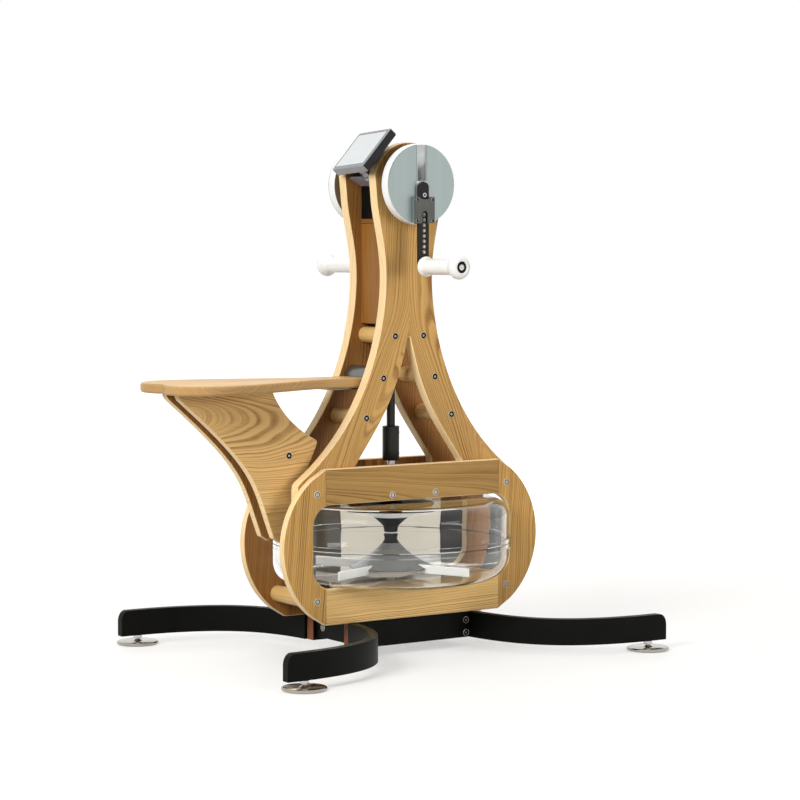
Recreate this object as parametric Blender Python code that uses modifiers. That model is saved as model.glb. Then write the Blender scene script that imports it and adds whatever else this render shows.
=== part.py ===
"""Water grinder ergometer: two hand cranks on an ash tower turn an impeller in a clear tank.

Metres, +Z up. Sizes below are measured from the drive shaft: X runs away from the user, Y runs across
the machine, and the front is at -Y. A root empty then shifts it so that its middle stands on the origin.
"""

import math

import bmesh
import bpy
from mathutils import Matrix, Vector
from mathutils.geometry import interpolate_bezier

# Clearances
SEAT_GAP = 0.0003
RUNNING_GAP = 0.00035
BORE_GAP = 0.0006

# Base
FOOT_REACH = 0.428
FOOT_SPREAD = 0.338
FOOT_RADIUS = 0.045
FOOT_PAD_HEIGHT = 0.003
FOOT_DISC_HEIGHT = 0.0045
STUD_RADIUS = 0.005
STUD_DEPTH_IN_LEG = 0.030
NUT_RADIUS = 0.0095
NUT_HEIGHT = 0.006
FOOT_TRAVEL = 0.006
LEG_BOTTOM = 0.020
LEG_HEIGHT = 0.055
LEG_THICKNESS = 0.020
LEG_ROOT_X = 0.154
LEG_END_X = 0.471
LEG_END_ROUNDING = 0.024
LEG_PATH_POINTS = 11
RAIL_HALF_LENGTH = 0.158
RAIL_THICKNESS = 0.024
RAIL_OUTER_Y = 0.084
CROSS_BLOCK_LENGTH = 0.040
CROSS_BLOCK_HEIGHT = 0.044
CROSS_BLOCK_INSET = 0.008
CROSS_BLOCK_DROP = 0.003
RAIL_SCREW_X = 0.1365
RAIL_SCREW_DROPS = (0.018, 0.045)

# Tank frames: two oval ash plates with a window
TANK_RADIUS = 0.250
FRAME_BOTTOM = LEG_BOTTOM + LEG_HEIGHT + SEAT_GAP
FRAME_HEIGHT = 0.3225
FRAME_HALF_LENGTH = TANK_RADIUS + 0.071
FRAME_THICKNESS = 0.018
FRAME_END_RADIUS = FRAME_HEIGHT / 2 + 0.01725
FRAME_STRAIGHT_X = FRAME_HALF_LENGTH - 0.102
FRAME_END_SHARE = 0.88
WINDOW_HALF_LENGTH = TANK_RADIUS - 0.001
WINDOW_HALF_HEIGHT = FRAME_HEIGHT / 2 - 0.07425
WINDOW_CORNER = 0.045
FRAME_SCREW_X = FRAME_HALF_LENGTH - 0.081
FRAME_SCREW_RISE = FRAME_HEIGHT / 2 - 0.05085
BLOCK_SCREW_X = 0.0545
BLOCK_SCREW_RISE = FRAME_HEIGHT / 2 - 0.06195
FRAME_MIDDLE = FRAME_BOTTOM + FRAME_HEIGHT / 2
FRAME_TOP = FRAME_BOTTOM + FRAME_HEIGHT

# Tower plates, set inside the tank frames
TOWER_OUTER_Y = 0.0697
TOWER_THICKNESS = 0.0255
HEAD_HEIGHT = 0.981
HEAD_RADIUS = 0.088
WAIST_HEIGHT = 0.789
WAIST_HALF_WIDTH = 0.0585
HEAD_SIDE_HALF_WIDTH = 0.0825
CROTCH_HEIGHT = 0.663
CROTCH_HALF_WIDTH = 0.0025
LEG_OUTER_TOE_X = FRAME_SCREW_X + 0.028
LEG_OUTER_TOE_Z = FRAME_TOP - 0.0253
LEG_SIDE_X = FRAME_SCREW_X + 0.0365
LEG_TOE_BOTTOM = FRAME_TOP - 0.0708
LEG_INNER_TOE_X = 0.1365
TOWER_SCREW_PLACES = ((0.0358, 0.6658), (0.0652, 0.5785), (0.1077, 0.4972))
DOWEL_RADIUS = 0.017
PANEL_OUTER_X = 0.046
PANEL_THICKNESS = 0.012
PANEL_BOTTOM = CROTCH_HEIGHT + 0.027
SHELF_TOP = HEAD_HEIGHT - 0.0707
SHELF_THICKNESS = 0.0100

# Screws with cup washers
SCREW_HEAD_RADIUS = 0.0068
SCREW_HEAD_HEIGHT = 0.0012
SCREW_ROOT = 0.003

# Tank
TANK_WALL = 0.004
TANK_BOTTOM = FRAME_MIDDLE - WINDOW_HALF_HEIGHT + SEAT_GAP
TANK_TOP = FRAME_MIDDLE + WINDOW_HALF_HEIGHT - 0.0046
TANK_HEIGHT = TANK_TOP - TANK_BOTTOM
TANK_BOTTOM_ROUNDING = 0.050
TANK_TOP_ROUNDING = 0.042
FLANGE_RADIUS = TANK_RADIUS + 0.005
FLANGE_BOTTOM = TANK_BOTTOM + 0.4088 * TANK_HEIGHT
FLANGE_RIM = 0.009
GASKET_THICKNESS = 0.001
GASKET_WIDTH = 0.008
TANK_STEPS = 32

# Drive
SHAFT_RADIUS = 0.009
SHAFT_END_GAP = 0.004
COUPLING_RADIUS = 0.0180
COUPLING_BOTTOM = FRAME_TOP + 0.0022
COUPLING_TOP = COUPLING_BOTTOM + 0.0725
BEARING_BLOCK_HALF_LENGTH = 0.085
BEARING_BLOCK_HEIGHT = 0.022
BEARING_BLOCK_RISE = 0.008
BEARING_COLLAR_WIDTH = 0.010
BEARING_COLLAR_HEIGHT = 0.006
BEARING_TUBE_RADIUS = 0.024
BEARING_DISC_RADIUS = 0.092
BEARING_DISC_DROP = 0.012
BEARING_DISC_THICKNESS = 0.006
BEARING_CONE_RADIUS = 0.030
BEARING_CONE_HEIGHT = TANK_TOP - 0.278 * TANK_HEIGHT
BEARING_NECK_RADIUS = 0.0140
IMPELLER_TOP = TANK_BOTTOM + 0.5537 * TANK_HEIGHT
IMPELLER_BOTTOM = TANK_BOTTOM + 0.078 * TANK_HEIGHT
BEARING_NECK_HEIGHT = IMPELLER_TOP + 0.0035
IMPELLER_SKIRT_RADIUS = 0.090
IMPELLER_BLADE_REACH = TANK_RADIUS - 0.055
IMPELLER_BLADE_HEIGHT = 0.030
IMPELLER_BLADE_THICKNESS = 0.005
IMPELLER_BLADES = 4
IMPELLER_BLADE_TURN = math.radians(22.5)
IMPELLER_BLADE_ROOT = 0.020
IMPELLER_SKIRT_LOW = IMPELLER_BOTTOM + IMPELLER_BLADE_HEIGHT * 0.35
# Radius, and share of the way from the hub's top down to the skirt's edge
IMPELLER_SKIRT = (
    (0.0150, 0.0),
    (0.0155, 0.057),
    (0.0135, 0.086),
    (0.0135, 0.171),
    (0.0170, 0.257),
    (0.0270, 0.414),
    (0.0480, 0.671),
    (IMPELLER_SKIRT_RADIUS * 0.78, 0.871),
    (IMPELLER_SKIRT_RADIUS, 1.0),
)

# Bevel gears
AXLE_TEETH = 20
PINION_TEETH = 14
GEAR_MODULE = 0.003
GEAR_FACE_WIDTH = 0.010
GEAR_ADDENDUM = 0.0025
GEAR_DEDENDUM = 0.0034
GEAR_TOOTH_THICKNESS = 0.0036
GEAR_HUB_LENGTH = 0.008

# Gear housing
HOUSING_HALF_LENGTH = 0.0458
HOUSING_HEIGHT = 0.112
HOUSING_WALL = 0.004

# Crank
AXLE_RADIUS = 0.010
AXLE_HALF_LENGTH = 0.1070
BEARING_BODY_RADIUS = 0.0175
BEARING_FLANGE_RADIUS = 0.026
BEARING_FLANGE_THICKNESS = 0.005
DISC_RADIUS = 0.084
DISC_BACK_Y = 0.090
DISC_FACE_Y = 0.115
FACE_PLATE_RADIUS = 0.0825
FACE_PLATE_THICKNESS = 0.0025
HUB_RADIUS = 0.022
ARM_WIDTH = 0.025
ARM_THICKNESS = 0.008
ARM_TOP_RISE = 0.006
GRIP_DROP = 0.170
ARM_HOLE_PITCH = 0.0110
ARM_HOLE_RADIUS = 0.0024
ARM_HOLES = 8
ARM_FIRST_HOLE_DROP = 0.0624
LOCK_SCREW_DROP = 0.022
LOCK_SCREW_RADIUS = 0.0048
LOCK_SCREW_HEIGHT = 0.0025
CLAMP_WIDTH = 0.0495
CLAMP_TOP_DROP = 0.026
CLAMP_HEIGHT = 0.0546
CLAMP_FRONT = 0.0035
CLAMP_NOTCH_RADIUS = 0.0235
CLAMP_NOTCH_DEPTH = 0.005
CLAMP_PORT_RADIUS = 0.0068
CLAMP_PORT_HEIGHT = 0.0255
CLAMP_SCREW_INSET = 0.0055
CLAMP_SCREW_RADIUS = 0.0036

# Grips
GRIP_START_Y = 0.128
GRIP_END_Y = 0.261
GRIP_RADIUS = 0.0165
GRIP_COLLAR_RADIUS = 0.021
GRIP_KNOB_RADIUS = 0.025
PIN_RADIUS = 0.006
PIN_CAP_RADIUS = 0.0115
PIN_CAP_THICKNESS = 0.003
PIN_CAP_DEPTH = 0.0022
KNOB_LENGTH = 0.026
COLLAR_LENGTH = 0.006

# Seat
HINGE_X = -0.0652
HINGE_Z = 0.5785
HINGE_TUBE_RADIUS = 0.024
HINGE_BOLT_RADIUS = 0.005
HINGE_LEAF_THICKNESS = 0.004
HINGE_LEAF_LENGTH = 0.100
HINGE_LEAF_WIDTH = 0.062
SEAT_TOP = 0.5795
SEAT_THICKNESS = 0.020
SEAT_NECK_HALF_WIDTH = 0.0415
SEAT_NECK_END_X = -0.180
SEAT_LOBE_X = -0.5625
SEAT_LOBE_Y = 0.0487
SEAT_LOBE_RADIUS = 0.0785
SEAT_NOTCH_X = -0.5495
BRACKET_INNER_Y = 0.016
BRACKET_THICKNESS = 0.018
BRACKET_HEEL_X = -0.5320
BRACKET_BELLY_START = (-0.5210, 0.5405)
BRACKET_BELLY_HANDLES = ((-0.3404, 0.3887), (-0.3569, 0.3720))
BRACKET_BELLY_END = (-0.3115, 0.2560)
BRACKET_TIP = (-0.2935, 0.2455)
BRACKET_CORNER = (-0.2030, 0.4510)
BRACKET_CORNER_ROUNDING = 0.008
BRACKET_THROAT_HANDLES = ((-0.2573, 0.4800), (-0.2933, 0.5150))
BRACKET_FRONT_TOP_X = -0.3127
BRACKET_SCREW = (-0.2745, 0.4248)
SPACER_RADIUS = 0.015

# Monitor
MONITOR_WIDTH = 0.137
MONITOR_HEIGHT = 0.105
MONITOR_THICKNESS = 0.019
MONITOR_FACE = (-0.0885, -0.0210, HEAD_HEIGHT + 0.0737)
MONITOR_YAW = math.radians(-7.0)
MONITOR_LEAN = math.radians(41.3)
MONITOR_ROLL = math.radians(-3.5)
MONITOR_BEZEL = 0.007
MONITOR_GLASS_THICKNESS = 0.0015
TILT_PIN_RADIUS = 0.003
TILT_BARREL_RADIUS = 0.006
TILT_BARREL_LENGTH = 0.026
TILT_EAR_THICKNESS = 0.005
TILT_DROP = 0.029
TILT_BACK = 0.0165
STRIP_THICKNESS = 0.003
STRIP_LOW = (-0.0470, HEAD_HEIGHT - 0.002)
STRIP_HIGH = (-0.0765, HEAD_HEIGHT + 0.0145)
STRIP_FLANGE = 0.024
TILT_EAR_ROOT = 0.004
POST_THICKNESS = 0.008
POST_SHARE_OF_BARREL = 0.8
POST_FOOT_SHIFT = (-0.006, 0.004)

# Sizes that follow from those above
FRAME_OUTER_Y = TOWER_OUTER_Y + SEAT_GAP + FRAME_THICKNESS
TOWER_INNER_Y = TOWER_OUTER_Y - TOWER_THICKNESS
RAIL_INNER_Y = RAIL_OUTER_Y - RAIL_THICKNESS
FRAME_SCREW_HEIGHTS = (FRAME_MIDDLE - FRAME_SCREW_RISE, FRAME_MIDDLE + FRAME_SCREW_RISE)
BLOCK_SCREW_Z = FRAME_MIDDLE + BLOCK_SCREW_RISE
CLAMP_CHANNEL = ARM_THICKNESS + 2 * RUNNING_GAP
PIN_CAP_FACE_Y = GRIP_END_Y - PIN_CAP_DEPTH
ROOT_SHIFT = (-SEAT_LOBE_X - FOOT_REACH - FOOT_RADIUS) / 2

# Steps round a curve
ROUND_STEPS = 16
SMALL_STEPS = 10
CORNER_STEPS = 4
SIDES = (("front", -1), ("rear", 1))
ENDS = (("left", -1), ("right", 1))


def clear_scene():
    for obj in list(bpy.data.objects):
        bpy.data.objects.remove(obj, do_unlink=True)


def collection(name):
    made = bpy.data.collections.new(name)
    bpy.context.scene.collection.children.link(made)
    return made


clear_scene()
PARTS = collection("water_grinder_ergometer")
CUTTERS = collection("cutters")


def material(name, colour, roughness, metallic=0.0, alpha=1.0):
    made = bpy.data.materials.new(name)
    made.use_nodes = True
    shader = made.node_tree.nodes["Principled BSDF"]
    shader.inputs["Base Color"].default_value = (*colour, 1.0)
    shader.inputs["Roughness"].default_value = roughness
    shader.inputs["Metallic"].default_value = metallic
    shader.inputs["Alpha"].default_value = alpha
    made.diffuse_color = (*colour, alpha)
    return made


ASH = material("ash", (0.60, 0.39, 0.19), 0.45)
BLACK_WOOD = material("black_wood", (0.03, 0.03, 0.03), 0.5)
BLACK_METAL = material("black_metal", (0.03, 0.03, 0.03), 0.4, 0.6)
BLACK_PLASTIC = material("black_plastic", (0.02, 0.02, 0.022), 0.45)
STEEL = material("steel", (0.62, 0.62, 0.62), 0.3, 1.0)
POLISHED = material("polished_steel", (0.66, 0.70, 0.70), 0.12, 1.0)
WHITE = material("white_plastic", (0.85, 0.85, 0.83), 0.4)
CLEAR = material("clear_plastic", (0.85, 0.88, 0.88), 0.05, 0.0, 0.35)
RUBBER = material("rubber", (0.05, 0.05, 0.05), 0.8)
GREY_METAL = material("grey_metal", (0.45, 0.45, 0.5), 0.45, 0.5)
SCREEN = material("screen", (0.45, 0.50, 0.50), 0.2)


def empty(name, place, parent=None, turn=(0.0, 0.0, 0.0)):
    made = bpy.data.objects.new(name, None)
    made.location = place
    made.rotation_euler = turn
    made.parent = parent
    PARTS.objects.link(made)
    return made


def rounded(mesh, degrees=35.0):
    mesh.shade_smooth()
    mesh.set_sharp_from_angle(angle=math.radians(degrees))


def piece(name, mesh, look, parent, place=(0.0, 0.0, 0.0), turn=(0.0, 0.0, 0.0)):
    """A named sub-part from a mesh, in its parent's frame."""
    rounded(mesh)
    mesh.materials.clear()
    mesh.materials.append(look)
    made = bpy.data.objects.new(name, mesh)
    made.location = place
    made.rotation_euler = turn
    made.parent = parent
    PARTS.objects.link(made)
    return made


def cut(target, mesh, place=(0.0, 0.0, 0.0), turn=(0.0, 0.0, 0.0), operation="DIFFERENCE"):
    """Cuts a tool mesh from a piece, or joins it on, in the piece's own frame."""
    tool = bpy.data.objects.new(target.name + "_tool", mesh)
    tool.location = place
    tool.rotation_euler = turn
    tool.parent = target
    tool.hide_render = True
    tool.display_type = "WIRE"
    CUTTERS.objects.link(tool)
    step = target.modifiers.new(operation.lower(), "BOOLEAN")
    step.operation = operation
    step.object = tool
    step.solver = "EXACT"


def ease_edges(target, width, segments=1, degrees=50.0):
    step = target.modifiers.new("eased_edges", "BEVEL")
    step.width = width
    step.segments = segments
    step.limit_method = "ANGLE"
    step.angle_limit = math.radians(degrees)


def finished(work, name):
    bmesh.ops.remove_doubles(work, verts=work.verts, dist=1e-6)
    bmesh.ops.recalc_face_normals(work, faces=work.faces)
    mesh = bpy.data.meshes.new(name)
    work.to_mesh(mesh)
    work.free()
    return mesh


def box(size, centre=(0.0, 0.0, 0.0)):
    work = bmesh.new()
    bmesh.ops.create_cube(work, size=1.0)
    bmesh.ops.scale(work, vec=size, verts=work.verts)
    bmesh.ops.translate(work, vec=centre, verts=work.verts)
    return finished(work, "box")


def rod(radius, low, high, steps=ROUND_STEPS, axis="Z"):
    """A round bar from low to high along an axis."""
    work = bmesh.new()
    bmesh.ops.create_cone(
        work, cap_ends=True, segments=steps, radius1=radius, radius2=radius, depth=high - low
    )
    bmesh.ops.translate(work, vec=(0.0, 0.0, (low + high) / 2), verts=work.verts)
    if axis == "Y":
        bmesh.ops.rotate(work, matrix=Matrix.Rotation(-math.pi / 2, 3, "X"), verts=work.verts)
    return finished(work, "rod")


def turned(profile, steps=ROUND_STEPS, ring=False):
    """A mesh turned about Z from (radius, height) points down its outer side; a ring closes on itself."""
    line = bpy.data.meshes.new("profile")
    points = [(radius, 0.0, height) for radius, height in profile]
    edges = [(n, n + 1) for n in range(len(points) - 1)]
    if ring:
        edges.append((len(points) - 1, 0))
    line.from_pydata(points, edges, [])
    guide = bpy.data.objects.new("profile", line)
    bpy.context.scene.collection.objects.link(guide)
    step = guide.modifiers.new("turn", "SCREW")
    step.axis = "Z"
    step.steps = steps
    step.render_steps = steps
    step.use_merge_vertices = True
    step.merge_threshold = 0.00001
    graph = bpy.context.evaluated_depsgraph_get()
    mesh = bpy.data.meshes.new_from_object(guide.evaluated_get(graph))
    bpy.data.objects.remove(guide, do_unlink=True)
    bpy.data.meshes.remove(line)
    return mesh


def outline_plate(outlines, thickness):
    """A flat plate in the XY plane about Z = 0; the first outline is its edge and the others are holes."""
    curve = bpy.data.curves.new("outline", "CURVE")
    curve.dimensions = "2D"
    curve.fill_mode = "BOTH"
    curve.extrude = thickness / 2
    for outline in outlines:
        spline = curve.splines.new("POLY")
        spline.points.add(len(outline) - 1)
        for point, (x, y) in zip(spline.points, outline):
            point.co = (x, y, 0.0, 1.0)
        spline.use_cyclic_u = True
    guide = bpy.data.objects.new("outline", curve)
    bpy.context.scene.collection.objects.link(guide)
    graph = bpy.context.evaluated_depsgraph_get()
    mesh = bpy.data.meshes.new_from_object(guide.evaluated_get(graph))
    bpy.data.objects.remove(guide, do_unlink=True)
    work = bmesh.new()
    work.from_mesh(mesh)
    bpy.data.meshes.remove(mesh)
    return finished(work, "plate")


def upright(mesh, y):
    """Stands a plate made in the XY plane up in the XZ plane, with its middle at y."""
    mesh.transform(Matrix.Translation((0.0, y, 0.0)) @ Matrix.Rotation(math.pi / 2, 4, "X"))
    return mesh


def arc(centre, radius, start, end, steps):
    """Points on an arc, with angles in degrees, both ends included."""
    points = []
    for n in range(steps + 1):
        angle = math.radians(start + (end - start) * n / steps)
        points.append((centre[0] + radius * math.cos(angle), centre[1] + radius * math.sin(angle)))
    return points


def sweep(start, handle_a, handle_b, end, count):
    """Points along one Bezier stretch, both ends included."""
    corners = [Vector((x, y, 0.0)) for x, y in (start, handle_a, handle_b, end)]
    return [(point.x, point.y) for point in interpolate_bezier(*corners, count)]


def mirrored_outline(half):
    """A closed outline from the half at +X that runs from the middle, round, and back to the middle."""
    middle = 1e-7
    return half + [(-x, y) for x, y in reversed(half) if abs(x) > middle]


def copies(mesh, places):
    """A tool mesh with a separate copy at each transform."""
    work = bmesh.new()
    for place in places:
        start = len(work.verts)
        work.from_mesh(mesh)
        work.verts.ensure_lookup_table()
        bmesh.ops.transform(work, matrix=place, verts=work.verts[start:])
    return finished(work, "copies")


def facing(x, y, z, side):
    """A transform that sets a part made along +Z on a face whose outside is towards side * Y."""
    turn = Matrix.Rotation(-side * math.pi / 2, 4, "X")
    return Matrix.Translation((x, y, z)) @ turn


root = empty("root", (ROOT_SHIFT, 0.0, 0.0))

# Base


def leg_path():
    """The middle line of a leg in plan, from the rail out to the foot, in the +X +Y quarter."""
    root_y = RAIL_OUTER_Y + SEAT_GAP
    bend = FOOT_SPREAD - root_y
    run = LEG_END_X - LEG_ROOT_X
    first = (LEG_ROOT_X, root_y)
    handle_a = (LEG_ROOT_X + run * 0.05, root_y + bend * 0.66)
    handle_b = (LEG_ROOT_X + run * 0.30, FOOT_SPREAD)
    return sweep(first, handle_a, handle_b, (LEG_END_X, FOOT_SPREAD), LEG_PATH_POINTS)


def leg_mesh(x_side, y_side):
    line = [Vector(point) for point in leg_path()]
    near = []
    far = []
    for n, point in enumerate(line):
        before = line[max(n - 1, 0)]
        after = line[min(n + 1, len(line) - 1)]
        along = (after - before).normalized()
        if n == 0:
            along = Vector((0.0, 1.0))
        if n == len(line) - 1:
            along = Vector((1.0, 0.0))
        across = Vector((-along.y, along.x)) * LEG_THICKNESS / 2
        near.append(point + across)
        far.append(point - across)
    outline = [(p.x, p.y) for p in near] + [(p.x, p.y) for p in reversed(far)]
    work = bmesh.new()
    work.from_mesh(outline_plate([outline], LEG_HEIGHT))
    bmesh.ops.translate(work, vec=(0.0, 0.0, LEG_BOTTOM + LEG_HEIGHT / 2), verts=work.verts)
    top = LEG_BOTTOM + LEG_HEIGHT
    corner = [
        edge
        for edge in work.edges
        if all(abs(v.co.z - top) < 1e-5 and abs(v.co.x - LEG_END_X) < 1e-4 for v in edge.verts)
    ]
    bmesh.ops.bevel(
        work, geom=corner, offset=LEG_END_ROUNDING, segments=6, profile=0.5, affect="EDGES"
    )
    bmesh.ops.scale(work, vec=(x_side, y_side, 1.0), verts=work.verts)
    return finished(work, "leg")


def foot_mesh():
    bottom = 0.0
    disc_low = FOOT_PAD_HEIGHT
    disc_top = FOOT_PAD_HEIGHT + FOOT_DISC_HEIGHT
    stud_top = LEG_BOTTOM + STUD_DEPTH_IN_LEG - FOOT_TRAVEL - SEAT_GAP
    return turned(
        [
            (0.0, stud_top),
            (STUD_RADIUS, stud_top),
            (STUD_RADIUS, disc_top + 0.003),
            (STUD_RADIUS * 2.2, disc_top),
            (FOOT_RADIUS - 0.002, disc_top),
            (FOOT_RADIUS, disc_top - 0.002),
            (FOOT_RADIUS, disc_low),
            (FOOT_RADIUS - 0.003, bottom),
            (0.0, bottom),
        ],
        ROUND_STEPS,
    )


def build_base():
    rail_size = (2 * RAIL_HALF_LENGTH, RAIL_THICKNESS, LEG_HEIGHT)
    rail_z = LEG_BOTTOM + LEG_HEIGHT / 2
    heights = [LEG_BOTTOM + LEG_HEIGHT - drop for drop in RAIL_SCREW_DROPS]
    rails = {}
    for name, side in SIDES:
        mesh = box(rail_size, (0.0, side * (RAIL_OUTER_Y - RAIL_THICKNESS / 2), rail_z))
        rails[side] = piece("base_rail_" + name, mesh, BLACK_WOOD, root)
        ease_edges(rails[side], 0.0015)
        spots = [(end * RAIL_SCREW_X, z) for end in (-1, 1) for z in heights]
        places = [facing(x, side * RAIL_OUTER_Y, z, side) for x, z in spots]
        cut(rails[side], copies(screw_head(), places), operation="UNION")
    block_length = RAIL_INNER_Y - SEAT_GAP + RAIL_INNER_Y + RAIL_THICKNESS / 2
    block_y = RAIL_INNER_Y + RAIL_THICKNESS / 2 - block_length / 2
    block_x = RAIL_HALF_LENGTH - CROSS_BLOCK_LENGTH / 2 - CROSS_BLOCK_INSET
    block_z = LEG_BOTTOM + LEG_HEIGHT - CROSS_BLOCK_HEIGHT / 2 - CROSS_BLOCK_DROP
    for end in (-1, 1):
        size = (CROSS_BLOCK_LENGTH, block_length, CROSS_BLOCK_HEIGHT)
        cut(rails[1], box(size, (end * block_x, block_y, block_z)), operation="UNION")

    for y_name, y_side in SIDES:
        for x_name, x_side in ENDS:
            place = (x_side * FOOT_REACH, y_side * FOOT_SPREAD, 0.0)
            name = y_name + "_" + x_name
            leg = piece("leg_" + name, leg_mesh(x_side, y_side), BLACK_WOOD, root)
            ease_edges(leg, 0.0015)
            nut = rod(NUT_RADIUS, LEG_BOTTOM - NUT_HEIGHT, LEG_BOTTOM + SCREW_ROOT, 6)
            cut(leg, nut, place, operation="UNION")
            bore_top = LEG_BOTTOM + STUD_DEPTH_IN_LEG
            bore = rod(STUD_RADIUS + BORE_GAP, 0.0, bore_top, SMALL_STEPS)
            cut(leg, bore, place)
            pivot = empty("foot_pivot_" + name, place, root)
            piece("foot_" + name, foot_mesh(), STEEL, pivot)


def screw_head():
    """A screw's cup washer above Z = 0, with a short root that joins the wood below."""
    return rod(SCREW_HEAD_RADIUS, -SCREW_ROOT, SCREW_HEAD_HEIGHT, 10)


# Tank frames


def frame_outline():
    """The oval: straight top and bottom, then end pieces whose round ends meet them at a slight kink."""
    half = FRAME_HEIGHT / 2
    centre_x = FRAME_HALF_LENGTH - FRAME_END_RADIUS
    reach = math.degrees(math.asin(half * FRAME_END_SHARE / FRAME_END_RADIUS))
    right = [(FRAME_STRAIGHT_X, -half)]
    right += arc((centre_x, 0.0), FRAME_END_RADIUS, -reach, reach, 14)
    right += [(FRAME_STRAIGHT_X, half)]
    left = [(-x, -z) for x, z in right]
    return [(x, z + FRAME_MIDDLE) for x, z in right + left]


def window_outline():
    inner_x = WINDOW_HALF_LENGTH - WINDOW_CORNER
    inner_z = WINDOW_HALF_HEIGHT - WINDOW_CORNER
    points = []
    for start, sx, sz in ((-90, 1, -1), (0, 1, 1), (90, -1, 1), (180, -1, -1)):
        centre = (sx * inner_x, FRAME_MIDDLE + sz * inner_z)
        points += arc(centre, WINDOW_CORNER, start, start + 90, CORNER_STEPS)
    return points


def build_tank_frames():
    places = [(sx * FRAME_SCREW_X, z) for sx in (-1, 1) for z in FRAME_SCREW_HEIGHTS]
    places += [(sx * BLOCK_SCREW_X, BLOCK_SCREW_Z) for sx in (-1, 1)]
    for name, side in SIDES:
        middle = side * (FRAME_OUTER_Y - FRAME_THICKNESS / 2)
        mesh = upright(outline_plate([frame_outline(), window_outline()], FRAME_THICKNESS), middle)
        frame = piece("tank_frame_" + name, mesh, ASH, root)
        ease_edges(frame, 0.003)
        heads = [facing(x, side * FRAME_OUTER_Y, z, side) for x, z in places]
        cut(frame, copies(screw_head(), heads), operation="UNION")
    for name, sx in ENDS:
        dowel = rod(DOWEL_RADIUS, -TOWER_OUTER_Y, TOWER_OUTER_Y, ROUND_STEPS, "Y")
        place = (sx * FRAME_SCREW_X, 0.0, FRAME_SCREW_HEIGHTS[0])
        piece("tank_frame_dowel_" + name, dowel, ASH, root, place)


# Tower


def tower_half():
    """Half the tower plate's outline at +X: down the outside from the head, then up inside the fork."""
    head = arc((0.0, HEAD_HEIGHT), HEAD_RADIUS, 90, 12, 8)
    side = sweep(
        (HEAD_SIDE_HALF_WIDTH, HEAD_HEIGHT - 0.016),
        (HEAD_SIDE_HALF_WIDTH - 0.0025, HEAD_HEIGHT - 0.072),
        (WAIST_HALF_WIDTH, WAIST_HEIGHT + 0.073),
        (WAIST_HALF_WIDTH, WAIST_HEIGHT),
        7,
    )
    flare = sweep(
        (WAIST_HALF_WIDTH, WAIST_HEIGHT),
        (WAIST_HALF_WIDTH, WAIST_HEIGHT - 0.104),
        (LEG_OUTER_TOE_X - 0.170, LEG_OUTER_TOE_Z + 0.1195),
        (LEG_OUTER_TOE_X, LEG_OUTER_TOE_Z),
        13,
    )
    toe = [
        (LEG_SIDE_X - 0.0015, LEG_OUTER_TOE_Z - 0.008),
        (LEG_SIDE_X, LEG_OUTER_TOE_Z - 0.022),
        (LEG_SIDE_X, LEG_TOE_BOTTOM),
        (LEG_INNER_TOE_X, LEG_TOE_BOTTOM),
    ]
    crotch = sweep(
        (LEG_INNER_TOE_X, FRAME_TOP - 0.002),
        (0.0696, CROTCH_HEIGHT - 0.1698),
        (0.0374, CROTCH_HEIGHT - 0.1412),
        (CROTCH_HALF_WIDTH, CROTCH_HEIGHT),
        9,
    )
    return head + side + flare[1:] + toe + crotch


def tower_mesh(side):
    outline = mirrored_outline(tower_half())
    return upright(
        outline_plate([outline], TOWER_THICKNESS), side * (TOWER_OUTER_Y - TOWER_THICKNESS / 2)
    )


def build_tower():
    toe_z = FRAME_SCREW_HEIGHTS[1]
    half = TOWER_INNER_Y - SEAT_GAP
    head_places = [(sx * x, z) for x, z in TOWER_SCREW_PLACES for sx in (-1, 1)]
    head_places.remove((HINGE_X, HINGE_Z))
    bearing_hole = rod(BEARING_BODY_RADIUS + BORE_GAP, -0.2, 0.2, ROUND_STEPS, "Y")
    hinge_hole = rod(HINGE_BOLT_RADIUS + SEAT_GAP, -0.2, 0.2, SMALL_STEPS, "Y")
    plates = {}
    for name, side in SIDES:
        plates[side] = piece("tower_plate_" + name, tower_mesh(side), ASH, root)
        ease_edges(plates[side], 0.0025)
        cut(plates[side], bearing_hole, (0.0, 0.0, HEAD_HEIGHT))
        cut(plates[side], hinge_hole, (HINGE_X, 0.0, HINGE_Z))
        heads = [facing(x, side * TOWER_OUTER_Y, z, side) for x, z in head_places]
        cut(plates[side], copies(screw_head(), heads), operation="UNION")
    # The toe dowels are let into the rear plate.
    toe_dowel = rod(DOWEL_RADIUS, -half, TOWER_INNER_Y + TOWER_THICKNESS / 2, ROUND_STEPS, "Y")
    for sx in (-1, 1):
        cut(plates[1], toe_dowel, (sx * FRAME_SCREW_X, 0.0, toe_z), operation="UNION")

    levels = ("upper", "middle", "lower")
    for level, (x, z) in zip(levels, TOWER_SCREW_PLACES):
        for name, sx in ENDS:
            if (sx * x, z) in head_places:
                dowel = rod(DOWEL_RADIUS, -half, half, ROUND_STEPS, "Y")
                place = (sx * x, 0.0, z)
                piece("tower_dowel_" + level + "_" + name, dowel, ASH, root, place)

    panel_top = SHELF_TOP - SHELF_THICKNESS - SEAT_GAP
    panel_size = (PANEL_THICKNESS, 2 * half, panel_top - PANEL_BOTTOM)
    panel_z = (PANEL_BOTTOM + panel_top) / 2
    for name, sx in ENDS:
        place = (sx * (PANEL_OUTER_X - PANEL_THICKNESS / 2), 0.0, panel_z)
        panel = piece("tower_panel_" + name, box(panel_size, place), ASH, root)
        ease_edges(panel, 0.001)
    shelf_size = (2 * PANEL_OUTER_X, 2 * half, SHELF_THICKNESS)
    shelf_mesh = box(shelf_size, (0.0, 0.0, SHELF_TOP - SHELF_THICKNESS / 2))
    shelf = piece("gear_shelf", shelf_mesh, ASH, root)
    cut(shelf, rod(SHAFT_RADIUS + RUNNING_GAP, -0.1, 0.1), (0.0, 0.0, SHELF_TOP))


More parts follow.
